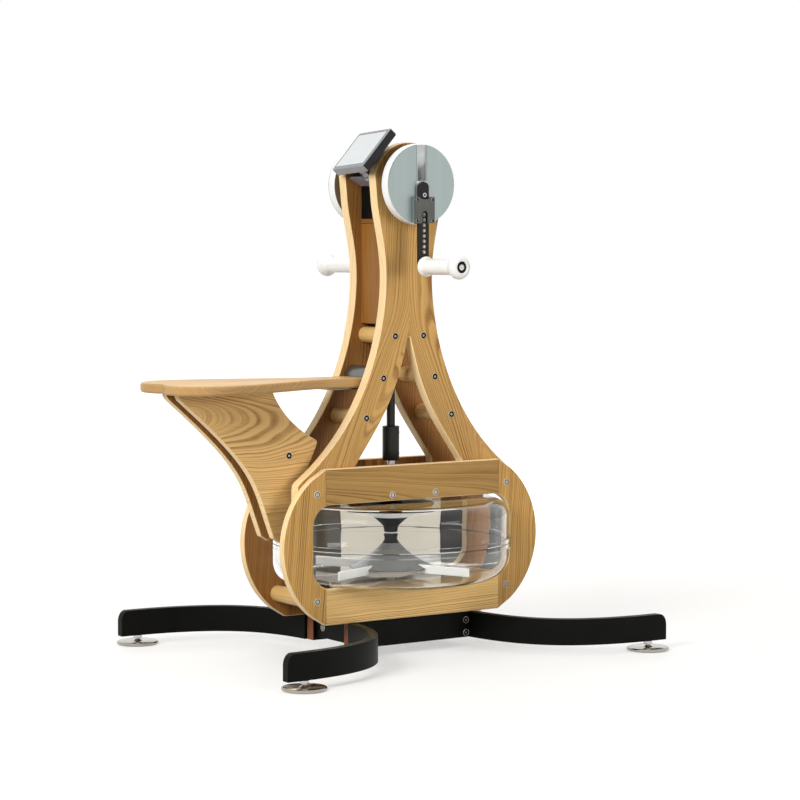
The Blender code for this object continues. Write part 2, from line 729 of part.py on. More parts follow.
# Tank and what stands in it


def tank_lower_profile():
    """From the middle of the floor inside, up the wall, over the flange and down the outside."""
    inner = TANK_RADIUS - TANK_WALL
    rounding = TANK_BOTTOM_ROUNDING
    centre = (TANK_RADIUS - rounding, TANK_BOTTOM + rounding)
    rim = FLANGE_BOTTOM + FLANGE_RIM
    profile = [(0.0, TANK_BOTTOM + TANK_WALL)]
    profile += arc(centre, rounding - TANK_WALL, -90, 0, CORNER_STEPS + 1)
    profile += [(inner, rim), (FLANGE_RADIUS, rim), (FLANGE_RADIUS, FLANGE_BOTTOM)]
    profile += [(TANK_RADIUS, FLANGE_BOTTOM)]
    profile += arc(centre, rounding, 0, -90, CORNER_STEPS + 1)
    return profile + [(0.0, TANK_BOTTOM)]


def tank_upper_profile():
    """A closed loop: along the top, down the outside and the flange, and up the inside to the hole."""
    inner = TANK_RADIUS - TANK_WALL
    rounding = TANK_TOP_ROUNDING
    centre = (TANK_RADIUS - rounding, TANK_TOP - rounding)
    foot = FLANGE_BOTTOM + FLANGE_RIM + GASKET_THICKNESS + 2 * SEAT_GAP
    rim = foot + FLANGE_RIM
    hole = BEARING_TUBE_RADIUS + BORE_GAP
    profile = [(hole, TANK_TOP)]
    profile += arc(centre, rounding, 90, 0, CORNER_STEPS + 1)
    profile += [(TANK_RADIUS, rim), (FLANGE_RADIUS, rim), (FLANGE_RADIUS, foot), (inner, foot)]
    profile += arc(centre, rounding - TANK_WALL, 0, 90, CORNER_STEPS + 1)
    return profile + [(hole, TANK_TOP - TANK_WALL)]


def build_tank():
    piece("tank_lower", turned(tank_lower_profile(), TANK_STEPS), CLEAR, root)
    piece("tank_upper", turned(tank_upper_profile(), TANK_STEPS, ring=True), CLEAR, root)
    low = FLANGE_BOTTOM + FLANGE_RIM + SEAT_GAP
    inner = FLANGE_RADIUS - GASKET_WIDTH
    gasket = turned(
        [
            (FLANGE_RADIUS, low + GASKET_THICKNESS),
            (FLANGE_RADIUS, low),
            (inner, low),
            (inner, low + GASKET_THICKNESS),
        ],
        TANK_STEPS,
        ring=True,
    )
    piece("tank_gasket", gasket, RUBBER, root)


def build_bearing():
    block_low = TANK_TOP + BEARING_BLOCK_RISE
    block_top = block_low + BEARING_BLOCK_HEIGHT
    block = piece(
        "bearing_block",
        box(
            (2 * BEARING_BLOCK_HALF_LENGTH, 2 * TOWER_OUTER_Y, BEARING_BLOCK_HEIGHT),
            (0.0, 0.0, (block_low + block_top) / 2),
        ),
        ASH,
        root,
    )
    cut(block, rod(BEARING_TUBE_RADIUS + SEAT_GAP + 0.0002, block_low - 0.01, block_top + 0.01))

    disc_top = TANK_TOP - BEARING_DISC_DROP
    bore = SHAFT_RADIUS + RUNNING_GAP
    collar = BEARING_TUBE_RADIUS + BEARING_COLLAR_WIDTH
    collar_top = block_top + BEARING_COLLAR_HEIGHT
    housing = turned(
        [
            (bore, collar_top),
            (collar, collar_top),
            (collar, block_top + SEAT_GAP),
            (BEARING_TUBE_RADIUS, block_top + SEAT_GAP),
            (BEARING_TUBE_RADIUS, disc_top),
            (BEARING_DISC_RADIUS, disc_top),
            (BEARING_DISC_RADIUS, disc_top - BEARING_DISC_THICKNESS),
            (BEARING_DISC_RADIUS * 0.62, disc_top - BEARING_DISC_THICKNESS - 0.003),
            (BEARING_CONE_RADIUS * 1.25, BEARING_CONE_HEIGHT + 0.011),
            (BEARING_CONE_RADIUS * 0.78, BEARING_CONE_HEIGHT - 0.004),
            (BEARING_NECK_RADIUS * 1.12, BEARING_NECK_HEIGHT + 0.012),
            (BEARING_NECK_RADIUS, BEARING_NECK_HEIGHT),
            (bore, BEARING_NECK_HEIGHT),
        ],
        ROUND_STEPS,
        ring=True,
    )
    piece("bearing_housing", housing, BLACK_PLASTIC, root)


def build_shaft(pivot):
    """The parts that turn about the upright axis, in the pivot's own frame."""
    pinion_front = HEAD_HEIGHT - cone_distance_inner() * math.cos(pinion_angle())
    joint = (COUPLING_BOTTOM + COUPLING_TOP) / 2
    upper = rod(SHAFT_RADIUS, joint + SHAFT_END_GAP / 2, pinion_front - 0.001)
    piece("drive_shaft", upper, BLACK_METAL, pivot)
    lower = rod(SHAFT_RADIUS, IMPELLER_BOTTOM - 0.002, joint - SHAFT_END_GAP / 2)
    piece("impeller_shaft", lower, STEEL, pivot)
    bore = SHAFT_RADIUS + RUNNING_GAP
    coupling = turned(
        [
            (bore, COUPLING_TOP),
            (COUPLING_RADIUS - 0.001, COUPLING_TOP),
            (COUPLING_RADIUS, COUPLING_TOP - 0.001),
            (COUPLING_RADIUS, COUPLING_BOTTOM + 0.001),
            (COUPLING_RADIUS - 0.001, COUPLING_BOTTOM),
            (bore, COUPLING_BOTTOM),
        ],
        ROUND_STEPS,
        ring=True,
    )
    piece("shaft_coupling", coupling, BLACK_METAL, pivot)

    rise = IMPELLER_TOP - IMPELLER_SKIRT_LOW
    profile = [(bore, IMPELLER_TOP)]
    profile += [(radius, IMPELLER_TOP - share * rise) for radius, share in IMPELLER_SKIRT]
    profile += [
        (IMPELLER_SKIRT_RADIUS - 0.003, IMPELLER_SKIRT_LOW - 0.002),
        (0.0300, IMPELLER_BOTTOM),
        (bore, IMPELLER_BOTTOM),
    ]
    impeller = piece("impeller", turned(profile, ROUND_STEPS, ring=True), BLACK_PLASTIC, pivot)
    reach = IMPELLER_BLADE_REACH - IMPELLER_BLADE_ROOT
    blade_middle = IMPELLER_BOTTOM + IMPELLER_BLADE_HEIGHT / 2
    for n in range(IMPELLER_BLADES):
        blade = box(
            (reach, IMPELLER_BLADE_THICKNESS, IMPELLER_BLADE_HEIGHT),
            (IMPELLER_BLADE_ROOT + reach / 2, 0.0, blade_middle),
        )
        turn = IMPELLER_BLADE_TURN + 2 * math.pi * n / IMPELLER_BLADES
        cut(impeller, blade, turn=(0.0, 0.0, turn), operation="UNION")
    pinion = bevel_gear(PINION_TEETH, pinion_angle(), SHAFT_RADIUS + RUNNING_GAP)
    piece("pinion_gear", pinion, STEEL, pivot, (0.0, 0.0, HEAD_HEIGHT), (math.pi, 0.0, 0.0))


# Bevel gears


def pinion_angle():
    return math.atan(PINION_TEETH / AXLE_TEETH)


def cone_distance_outer():
    return GEAR_MODULE * AXLE_TEETH / 2 / math.cos(pinion_angle())


def cone_distance_inner():
    return cone_distance_outer() - GEAR_FACE_WIDTH


def bevel_gear(teeth, cone_angle, bore):
    """A straight bevel gear, lofted end to end: its cone's tip at the origin, its back towards +Z."""
    outer = cone_distance_outer()
    inner = cone_distance_inner()
    pitch_radius = outer * math.sin(cone_angle)
    half_at_pitch = GEAR_TOOTH_THICKNESS / 2 / pitch_radius
    half_at_tip = half_at_pitch * 0.62
    half_at_root = half_at_pitch * 1.45
    step = 2 * math.pi / teeth

    def star(distance):
        scale = distance / outer
        points = []
        for tooth in range(teeth):
            middle = tooth * step
            for offset, rise in (
                (-half_at_root, -GEAR_DEDENDUM),
                (-half_at_tip, GEAR_ADDENDUM),
                (half_at_tip, GEAR_ADDENDUM),
                (half_at_root, -GEAR_DEDENDUM),
            ):
                radius = distance * math.sin(cone_angle) + rise * scale * math.cos(cone_angle)
                height = distance * math.cos(cone_angle) - rise * scale * math.sin(cone_angle)
                angle = middle + offset
                points.append((radius * math.cos(angle), radius * math.sin(angle), height))
        return points

    def ring(radius, height):
        points = []
        for tooth in range(teeth):
            middle = tooth * step
            for offset in (-half_at_root, -half_at_tip, half_at_tip, half_at_root):
                angle = middle + offset
                points.append((radius * math.cos(angle), radius * math.sin(angle), height))
        return points

    root_radius = inner * math.sin(cone_angle) - GEAR_DEDENDUM * math.cos(cone_angle)
    front = inner * math.cos(cone_angle) + GEAR_DEDENDUM * inner / outer * math.sin(cone_angle)
    back_root = outer * math.cos(cone_angle) + GEAR_DEDENDUM * math.sin(cone_angle)
    hub_radius = pitch_radius * 0.62
    back = back_root + GEAR_HUB_LENGTH
    loops = [
        ring(bore, front),
        ring(min(root_radius - 0.0008, root_radius * 0.92), front),
        star(inner),
        star(outer),
        ring(hub_radius, back),
        ring(bore, back),
    ]
    work = bmesh.new()
    rows = [[work.verts.new(point) for point in loop] for loop in loops]
    count = 4 * teeth
    for n, row in enumerate(rows):
        following = rows[(n + 1) % len(rows)]
        for k in range(count):
            after = (k + 1) % count
            work.faces.new((row[k], row[after], following[after], following[k]))
    return finished(work, "bevel_gear")


def build_gear_housing():
    """An open-bottomed casing over the bevel gears, standing on the shelf."""
    half_width = TOWER_INNER_Y - SEAT_GAP
    low = SHELF_TOP + SEAT_GAP
    size = (2 * HOUSING_HALF_LENGTH, 2 * half_width, HOUSING_HEIGHT)
    block = box(size, (0.0, 0.0, low + HOUSING_HEIGHT / 2))
    housing = piece("gear_housing", block, BLACK_PLASTIC, root)
    ease_edges(housing, 0.0015)
    inside = (size[0] - 2 * HOUSING_WALL, size[1] - 2 * HOUSING_WALL, HOUSING_HEIGHT)
    cut(housing, box(inside, (0.0, 0.0, low + HOUSING_HEIGHT / 2 - HOUSING_WALL)))
    cut(housing, rod(BEARING_BODY_RADIUS - 0.002, -0.1, 0.1, ROUND_STEPS, "Y"), (0.0, 0.0, HEAD_HEIGHT))


# Crank


def build_axle(pivot):
    axle = rod(AXLE_RADIUS, -AXLE_HALF_LENGTH, AXLE_HALF_LENGTH, ROUND_STEPS, "Y")
    piece("crank_axle", axle, STEEL, pivot)
    gear = bevel_gear(AXLE_TEETH, math.pi / 2 - pinion_angle(), AXLE_RADIUS + RUNNING_GAP)
    gear.transform(Matrix.Rotation(-math.pi / 2, 4, "X") @ Matrix.Rotation(math.pi / 2, 4, "Z"))
    piece("axle_gear", gear, STEEL, pivot)

    bore = AXLE_RADIUS + RUNNING_GAP
    flange_low = TOWER_OUTER_Y + SEAT_GAP
    bearing = turned(
        [
            (bore, flange_low + BEARING_FLANGE_THICKNESS),
            (BEARING_FLANGE_RADIUS, flange_low + BEARING_FLANGE_THICKNESS),
            (BEARING_FLANGE_RADIUS, flange_low),
            (BEARING_BODY_RADIUS, flange_low),
            (BEARING_BODY_RADIUS, TOWER_INNER_Y + 0.002),
            (bore, TOWER_INNER_Y + 0.002),
        ],
        ROUND_STEPS,
        ring=True,
    )
    for name, side in SIDES:
        mesh = bearing.copy()
        mesh.transform(facing(0.0, 0.0, HEAD_HEIGHT, side))
        piece("axle_bearing_" + name, mesh, STEEL, root)


def disc_mesh():
    """The white crank disc, made along +Z with the axle's middle at Z = 0."""
    plate_back = DISC_FACE_Y - FACE_PLATE_THICKNESS - SEAT_GAP
    hub_low = TOWER_OUTER_Y + SEAT_GAP + BEARING_FLANGE_THICKNESS + 0.0007
    blind = AXLE_HALF_LENGTH + SEAT_GAP
    bore = AXLE_RADIUS + RUNNING_GAP
    return turned(
        [
            (0.0, plate_back),
            (DISC_RADIUS - 0.002, plate_back),
            (DISC_RADIUS, plate_back - 0.002),
            (DISC_RADIUS, DISC_BACK_Y + 0.003),
            (DISC_RADIUS - 0.003, DISC_BACK_Y),
            (HUB_RADIUS + 0.006, DISC_BACK_Y),
            (HUB_RADIUS, DISC_BACK_Y - 0.005),
            (HUB_RADIUS, hub_low),
            (bore, hub_low),
            (bore, blind),
            (0.0, blind),
        ],
        TANK_STEPS,
    )


def arm_outline():
    """The bar's outline in the disc's own XY plane, with +Y up: round at the top and behind the grip."""
    radius = ARM_WIDTH / 2
    top = arc((0.0, ARM_TOP_RISE - radius), radius, 0, 180, 10)
    low = arc((0.0, -GRIP_DROP), radius, 180, 360, 10)
    return top + low


def clamp_mesh():
    """The bridge over the bar, with a round notch above and a port below, on the disc's face."""
    half = CLAMP_WIDTH / 2
    top = -CLAMP_TOP_DROP
    low = top - CLAMP_HEIGHT
    notch_y = top + CLAMP_NOTCH_RADIUS - CLAMP_NOTCH_DEPTH
    reach = math.degrees(math.acos(1.0 - CLAMP_NOTCH_DEPTH / CLAMP_NOTCH_RADIUS))
    port_y = low + CLAMP_PORT_HEIGHT - CLAMP_PORT_RADIUS
    outline = [(half, low), (half, top)]
    outline += arc((0.0, notch_y), CLAMP_NOTCH_RADIUS, -90 + reach, -90 - reach, 8)
    outline += [(-half, top), (-half, low), (-CLAMP_PORT_RADIUS, low)]
    outline += arc((0.0, port_y), CLAMP_PORT_RADIUS, 180, 0, 8)
    outline += [(CLAMP_PORT_RADIUS, low)]
    depth = CLAMP_CHANNEL + CLAMP_FRONT
    mesh = outline_plate([outline], depth)
    mesh.transform(Matrix.Translation((0.0, 0.0, DISC_FACE_Y + SEAT_GAP + depth / 2)))
    return mesh


def build_crank_side(name, side, crank):
    """One side's disc, face plate, clamp, bar, pin and grip, made along +Z and turned to face side * Y."""
    turn = (math.pi / 2, 0.0, math.pi if side > 0 else 0.0)
    face = empty("crank_face_" + name, (0.0, 0.0, 0.0), crank, turn)
    disc = piece("crank_disc_" + name, disc_mesh(), WHITE, face)
    slot_half = ARM_WIDTH / 2 + 0.0002
    guide_length = DISC_RADIUS + ARM_TOP_RISE - 0.004
    guide_middle = ARM_TOP_RISE - guide_length / 2
    guide_depth = FACE_PLATE_THICKNESS + 0.004
    guide = box(
        (ARM_WIDTH, guide_length, guide_depth),
        (0.0, guide_middle, DISC_FACE_Y - guide_depth / 2),
    )
    cut(disc, guide, operation="UNION")
    plate = piece(
        "disc_face_" + name,
        rod(FACE_PLATE_RADIUS, DISC_FACE_Y - FACE_PLATE_THICKNESS, DISC_FACE_Y, TANK_STEPS),
        POLISHED,
        face,
    )
    slot_size = (2 * slot_half + 2 * SEAT_GAP, 2 * DISC_RADIUS, 0.02)
    cut(plate, box(slot_size, (0.0, ARM_TOP_RISE + SEAT_GAP + 0.0002 - DISC_RADIUS, DISC_FACE_Y)))

    clamp = piece("arm_clamp_" + name, clamp_mesh(), BLACK_METAL, face)
    channel = box(
        (ARM_WIDTH + 2 * RUNNING_GAP, 2 * DISC_RADIUS, 2 * CLAMP_CHANNEL),
        (0.0, -CLAMP_TOP_DROP, DISC_FACE_Y + SEAT_GAP),
    )
    cut(clamp, channel)
    cut(clamp, clamp_screw_heads(), operation="UNION")

    arm_low = DISC_FACE_Y + SEAT_GAP + RUNNING_GAP
    arm_front = arm_low + ARM_THICKNESS
    slide = empty("arm_slide_" + name, (0.0, 0.0, 0.0), face)
    bar_mesh = outline_plate([arm_outline()], ARM_THICKNESS)
    bar_mesh.transform(Matrix.Translation((0.0, 0.0, arm_low + ARM_THICKNESS / 2)))
    bar = piece("arm_bar_" + name, bar_mesh, BLACK_METAL, slide)
    hole = rod(ARM_HOLE_RADIUS, arm_low - 0.005, arm_front + 0.005, 8)
    drops = [ARM_FIRST_HOLE_DROP + n * ARM_HOLE_PITCH for n in range(ARM_HOLES)]
    cut(bar, copies(hole, [Matrix.Translation((0.0, -drop, 0.0)) for drop in drops]))
    pin_hole = rod(PIN_RADIUS + SEAT_GAP, arm_low - 0.005, arm_front + 0.005, ROUND_STEPS)
    cut(bar, pin_hole, (0.0, -GRIP_DROP, 0.0))
    lock = rod(LOCK_SCREW_RADIUS, arm_front - SCREW_ROOT, arm_front + LOCK_SCREW_HEIGHT, SMALL_STEPS)
    cut(bar, lock, (0.0, -LOCK_SCREW_DROP, 0.0), operation="UNION")

    pin = turned(
        [
            (0.0, PIN_CAP_FACE_Y),
            (PIN_CAP_RADIUS, PIN_CAP_FACE_Y),
            (PIN_CAP_RADIUS, PIN_CAP_FACE_Y - PIN_CAP_THICKNESS),
            (PIN_RADIUS, PIN_CAP_FACE_Y - PIN_CAP_THICKNESS),
            (PIN_RADIUS, arm_low + 0.001),
            (0.0, arm_low + 0.001),
        ],
        ROUND_STEPS,
    )
    pin.transform(Matrix.Translation((0.0, -GRIP_DROP, 0.0)))
    piece("grip_pin_" + name, pin, STEEL, slide)

    grip_pivot = empty("grip_pivot_" + name, (0.0, -GRIP_DROP, 0.0), slide)
    piece("grip_" + name, grip_mesh(arm_front), WHITE, grip_pivot)


def grip_mesh(arm_front):
    """The hollow grip: a collar by the bar, a plain shank and a knob, with a recess for the pin's cap."""
    bore = PIN_RADIUS + RUNNING_GAP + 0.0002
    recess = PIN_CAP_RADIUS + BORE_GAP
    recess_floor = PIN_CAP_FACE_Y - PIN_CAP_THICKNESS - RUNNING_GAP
    start = max(GRIP_START_Y, arm_front + RUNNING_GAP)
    knob_low = GRIP_END_Y - KNOB_LENGTH
    return turned(
        [
            (recess, GRIP_END_Y - 0.0008),
            (GRIP_KNOB_RADIUS - 0.009, GRIP_END_Y),
            (GRIP_KNOB_RADIUS - 0.003, GRIP_END_Y - 0.0025),
            (GRIP_KNOB_RADIUS, GRIP_END_Y - 0.008),
            (GRIP_KNOB_RADIUS, GRIP_END_Y - 0.013),
            (GRIP_KNOB_RADIUS - 0.002, GRIP_END_Y - 0.018),
            (GRIP_RADIUS + 0.002, knob_low),
            (GRIP_RADIUS, knob_low - 0.006),
            (GRIP_RADIUS, start + 0.014),
            (GRIP_RADIUS + 0.0015, start + 0.009),
            (GRIP_COLLAR_RADIUS, start + COLLAR_LENGTH),
            (GRIP_COLLAR_RADIUS, start + 0.0015),
            (GRIP_COLLAR_RADIUS - 0.0015, start),
            (bore, start),
            (bore, recess_floor),
            (recess, recess_floor),
        ],
        ROUND_STEPS,
        ring=True,
    )


def clamp_screw_heads():
    """The clamp's four screw heads, on its outer face."""
    front = DISC_FACE_Y + SEAT_GAP + CLAMP_CHANNEL + CLAMP_FRONT
    head = rod(CLAMP_SCREW_RADIUS, -0.002, 0.0006, 8)
    across = CLAMP_WIDTH / 2 - CLAMP_SCREW_INSET
    high_drop = CLAMP_TOP_DROP + CLAMP_SCREW_INSET
    low_drop = CLAMP_TOP_DROP + CLAMP_HEIGHT - CLAMP_SCREW_INSET
    spots = [(sx * across, -drop, front) for sx in (-1, 1) for drop in (high_drop, low_drop)]
    return copies(head, [Matrix.Translation(spot) for spot in spots])


# Seat


def seat_outline():
    """The board in plan: a straight neck that widens to two round lobes with a shallow dip between them."""
    centre = (SEAT_LOBE_X + SEAT_LOBE_RADIUS, SEAT_LOBE_Y)
    widest = (centre[0], SEAT_LOBE_Y + SEAT_LOBE_RADIUS)
    run = SEAT_NECK_END_X - widest[0]
    half = [(HINGE_X - HINGE_TUBE_RADIUS - SEAT_GAP - 0.0005, SEAT_NECK_HALF_WIDTH)]
    half += sweep(
        (SEAT_NECK_END_X, SEAT_NECK_HALF_WIDTH),
        (SEAT_NECK_END_X - run * 0.27, SEAT_NECK_HALF_WIDTH + 0.003),
        (widest[0] + run * 0.42, widest[1]),
        widest,
        10,
    )
    half += arc(centre, SEAT_LOBE_RADIUS, 90, 205, 11)[1:]
    half += [(SEAT_NOTCH_X - 0.0010, 0.005), (SEAT_NOTCH_X, 0.0)]
    return half + [(x, -y) for x, y in reversed(half[:-1])]


def bracket_outline():
    """The bracket hangs under the board and its edge leans on the tower's toe dowel, in a shallow notch."""
    top = SEAT_TOP - SEAT_THICKNESS - SEAT_GAP
    nose = [(BRACKET_HEEL_X, top), (BRACKET_HEEL_X, top - 0.006), (BRACKET_HEEL_X + 0.004, top - 0.0125)]
    belly = sweep(BRACKET_BELLY_START, *BRACKET_BELLY_HANDLES, BRACKET_BELLY_END, 12)
    tip = Vector(BRACKET_TIP)
    corner = Vector(BRACKET_CORNER)
    before = corner - (corner - tip).normalized() * BRACKET_CORNER_ROUNDING
    after = corner + Vector((-0.82, 0.57)) * BRACKET_CORNER_ROUNDING
    throat = sweep(tuple(after), *BRACKET_THROAT_HANDLES, (BRACKET_FRONT_TOP_X, top), 9)
    corner_point = (corner.x - 0.0015, corner.y - 0.001)
    return nose + belly + [BRACKET_TIP, tuple(before), corner_point] + throat


def build_seat(pivot):
    """The folding seat, in the hinge's own frame."""
    home = Matrix.Translation((-HINGE_X, 0.0, -HINGE_Z))
    board_mesh = outline_plate([seat_outline()], SEAT_THICKNESS)
    board_mesh.transform(home @ Matrix.Translation((0.0, 0.0, SEAT_TOP - SEAT_THICKNESS / 2)))
    board = piece("seat_board", board_mesh, ASH, pivot)
    ease_edges(board, 0.0055, 2)

    notch = rod(DOWEL_RADIUS + BORE_GAP, -0.1, 0.1, ROUND_STEPS, "Y")
    notch_place = (-FRAME_SCREW_X - HINGE_X, 0.0, FRAME_SCREW_HEIGHTS[1] - HINGE_Z)
    screw_place = (BRACKET_SCREW[0] - HINGE_X, 0.0, BRACKET_SCREW[1] - HINGE_Z)
    brackets = {}
    for name, side in SIDES:
        middle = side * (BRACKET_INNER_Y + BRACKET_THICKNESS / 2)
        mesh = upright(outline_plate([bracket_outline()], BRACKET_THICKNESS), middle)
        mesh.transform(home)
        brackets[side] = piece("seat_bracket_" + name, mesh, ASH, pivot)
        cut(brackets[side], notch, notch_place)
        ease_edges(brackets[side], 0.003)
        outer = side * (BRACKET_INNER_Y + BRACKET_THICKNESS)
        head = copies(screw_head(), [facing(screw_place[0], outer, screw_place[2], side)])
        cut(brackets[side], head, operation="UNION")
    # The spacer between the brackets is let into the rear one.
    spacer = rod(
        SPACER_RADIUS,
        SEAT_GAP - BRACKET_INNER_Y,
        BRACKET_INNER_Y + BRACKET_THICKNESS / 2,
        ROUND_STEPS,
        "Y",
    )
    cut(brackets[1], spacer, screw_place, operation="UNION")

    half = TOWER_INNER_Y - 0.0010
    bore = HINGE_BOLT_RADIUS + BORE_GAP
    tube = turned(
        [(bore, half), (HINGE_TUBE_RADIUS, half), (HINGE_TUBE_RADIUS, -half), (bore, -half)],
        ROUND_STEPS,
        ring=True,
    )
    tube.transform(Matrix.Rotation(math.pi / 2, 4, "X"))
    hinge = piece("seat_hinge", tube, GREY_METAL, pivot)
    leaf_top = SEAT_TOP - SEAT_THICKNESS - SEAT_GAP - HINGE_Z
    leaf_end = -HINGE_TUBE_RADIUS - HINGE_LEAF_LENGTH + 0.02
    leaf = box(
        (-leaf_end, HINGE_LEAF_WIDTH, HINGE_LEAF_THICKNESS),
        (leaf_end / 2, 0.0, leaf_top - HINGE_LEAF_THICKNESS / 2),
    )
    cut(hinge, leaf, operation="UNION")


def build_hinge_bolt():
    half = TOWER_OUTER_Y + SEAT_GAP
    bolt = turned(
        [
            (0.0, half + SCREW_HEAD_HEIGHT),
            (SCREW_HEAD_RADIUS, half + SCREW_HEAD_HEIGHT),
            (SCREW_HEAD_RADIUS, half),
            (HINGE_BOLT_RADIUS, half),
            (HINGE_BOLT_RADIUS, -half),
            (SCREW_HEAD_RADIUS, -half),
            (SCREW_HEAD_RADIUS, -half - SCREW_HEAD_HEIGHT),
            (0.0, -half - SCREW_HEAD_HEIGHT),
        ],
        SMALL_STEPS,
    )
    bolt.transform(Matrix.Translation((HINGE_X, 0.0, HINGE_Z)) @ Matrix.Rotation(math.pi / 2, 4, "X"))
    piece("seat_hinge_bolt", bolt, STEEL, root)


# Monitor


def monitor_turn():
    """The case's own frame: X into the case, Y along its width, Z up its face."""
    yaw = Matrix.Rotation(MONITOR_YAW, 4, "Z")
    lean = Matrix.Rotation(MONITOR_LEAN, 4, "Y")
    roll = Matrix.Rotation(MONITOR_ROLL, 4, "X")
    return yaw @ lean @ roll


def tilt_axis_place():
    local = Vector((MONITOR_THICKNESS + TILT_BACK, 0.0, -TILT_DROP))
    return Vector(MONITOR_FACE) + monitor_turn().to_3x3() @ local


def build_monitor():
    turn = monitor_turn().to_euler()
    place = tilt_axis_place()
    pivot = empty("monitor_pivot", place, root, turn)
    back = -TILT_BACK
    middle_z = TILT_DROP
    case_mesh = box(
        (MONITOR_THICKNESS, MONITOR_WIDTH, MONITOR_HEIGHT),
        (back - MONITOR_THICKNESS / 2, 0.0, middle_z),
    )
    case = piece("monitor_case", case_mesh, BLACK_PLASTIC, pivot)
    glass_size = (
        MONITOR_GLASS_THICKNESS,
        MONITOR_WIDTH - 2 * MONITOR_BEZEL,
        MONITOR_HEIGHT - 2 * MONITOR_BEZEL,
    )
    face = back - MONITOR_THICKNESS
    pocket = (
        2 * (MONITOR_GLASS_THICKNESS + SEAT_GAP),
        glass_size[1] + 2 * SEAT_GAP,
        glass_size[2] + 2 * SEAT_GAP,
    )
    ease_edges(case, 0.003, 2)
    cut(case, box(pocket, (face, 0.0, middle_z)))
    ear_length = TILT_BACK + TILT_BARREL_RADIUS + TILT_EAR_ROOT
    ear_size = (ear_length, TILT_EAR_THICKNESS, 2 * TILT_BARREL_RADIUS)
    ear_x = back - TILT_EAR_ROOT + ear_length / 2
    ear_y = TILT_BARREL_LENGTH / 2 + RUNNING_GAP + TILT_EAR_THICKNESS / 2
    for side in (-1, 1):
        cut(case, box(ear_size, (ear_x, side * ear_y, 0.0)), operation="UNION")
    cut(case, rod(TILT_PIN_RADIUS, -ear_y, ear_y, SMALL_STEPS, "Y"), operation="UNION")
    glass = box(glass_size, (face + MONITOR_GLASS_THICKNESS / 2, 0.0, middle_z))
    piece("monitor_screen", glass, SCREEN, pivot)

    half = TOWER_INNER_Y - SEAT_GAP - 0.001
    face_x = -HOUSING_HALF_LENGTH - SEAT_GAP
    profile = [
        (face_x, STRIP_LOW[1] + STRIP_FLANGE),
        (face_x - STRIP_THICKNESS, STRIP_LOW[1] + STRIP_FLANGE),
        (face_x - STRIP_THICKNESS, STRIP_LOW[1] + STRIP_THICKNESS),
        (STRIP_HIGH[0], STRIP_HIGH[1] + STRIP_THICKNESS),
        (STRIP_HIGH[0] - 0.0010, STRIP_HIGH[1]),
        (face_x, STRIP_LOW[1]),
    ]
    bracket = piece(
        "monitor_bracket", upright(outline_plate([profile], 2 * half), 0.0), GREY_METAL, root
    )
    barrel = rod(TILT_BARREL_RADIUS, -TILT_BARREL_LENGTH / 2, TILT_BARREL_LENGTH / 2, ROUND_STEPS, "Y")
    cut(bracket, barrel, place, turn, operation="UNION")
    strip_x = (STRIP_HIGH[0] + STRIP_LOW[0]) / 2 + POST_FOOT_SHIFT[0]
    strip_z = (STRIP_HIGH[1] + STRIP_LOW[1]) / 2 + POST_FOOT_SHIFT[1]
    foot_low = Vector((strip_x, place.y, strip_z))
    reach = place - foot_low
    post_width = TILT_BARREL_LENGTH * POST_SHARE_OF_BARREL
    post = box((POST_THICKNESS, post_width, reach.length), (0.0, 0.0, reach.length / 2))
    lean = math.atan2(reach.x, reach.z)
    cut(bracket, post, foot_low, (0.0, lean, 0.0), operation="UNION")
    cut(
        bracket,
        rod(TILT_PIN_RADIUS + RUNNING_GAP, -0.05, 0.05, SMALL_STEPS, "Y"),
        place,
        turn,
    )


build_base()
build_tank_frames()
build_tower()
build_tank()
build_bearing()
build_gear_housing()
shaft_pivot = empty("shaft_pivot", (0.0, 0.0, 0.0), root)
build_shaft(shaft_pivot)
crank_pivot = empty("crank_pivot", (0.0, 0.0, HEAD_HEIGHT), root)
build_axle(crank_pivot)
for side_name, side_sign in SIDES:
    build_crank_side(side_name, side_sign, crank_pivot)
seat_pivot = empty("seat_pivot", (HINGE_X, 0.0, HINGE_Z), root)
build_seat(seat_pivot)
build_hinge_bolt()
build_monitor()
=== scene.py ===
import math

import bmesh
import bpy
from mathutils import Matrix, Vector
from mathutils.geometry import interpolate_bezier


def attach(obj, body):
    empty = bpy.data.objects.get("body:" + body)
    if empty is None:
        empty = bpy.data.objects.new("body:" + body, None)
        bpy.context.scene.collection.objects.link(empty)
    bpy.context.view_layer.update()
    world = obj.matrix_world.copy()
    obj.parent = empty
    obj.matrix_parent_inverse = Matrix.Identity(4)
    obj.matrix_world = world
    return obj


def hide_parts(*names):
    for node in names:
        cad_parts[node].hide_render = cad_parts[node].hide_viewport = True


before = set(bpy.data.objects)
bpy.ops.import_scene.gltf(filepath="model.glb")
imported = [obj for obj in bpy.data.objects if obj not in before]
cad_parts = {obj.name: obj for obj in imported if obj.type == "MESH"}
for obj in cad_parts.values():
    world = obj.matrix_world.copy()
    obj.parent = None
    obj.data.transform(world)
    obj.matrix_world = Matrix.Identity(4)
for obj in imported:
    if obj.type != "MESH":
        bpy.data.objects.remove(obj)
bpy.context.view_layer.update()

# Sizes are measured from the drive shaft, x away from the user, the front at -y; this sets the shaft in the frame
shaftX = 0.04475
sides = (("front", -1), ("rear", 1))
ends = (("left", -1), ("right", 1))

# node helpers


def addNode(tree, kind, sockets=None, **settings):
    # a socket value that is itself a socket gets linked
    node = tree.nodes.new(kind)
    for key, value in settings.items():
        setattr(node, key, value)
    for key, value in (sockets or {}).items():
        if isinstance(value, bpy.types.NodeSocket):
            tree.links.new(value, node.inputs[key])
        else:
            node.inputs[key].default_value = value
    return node


def calc(tree, operation, a, b=0.0, c=0.0):
    return addNode(tree, "ShaderNodeMath", {0: a, 1: b, 2: c}, operation=operation).outputs[0]


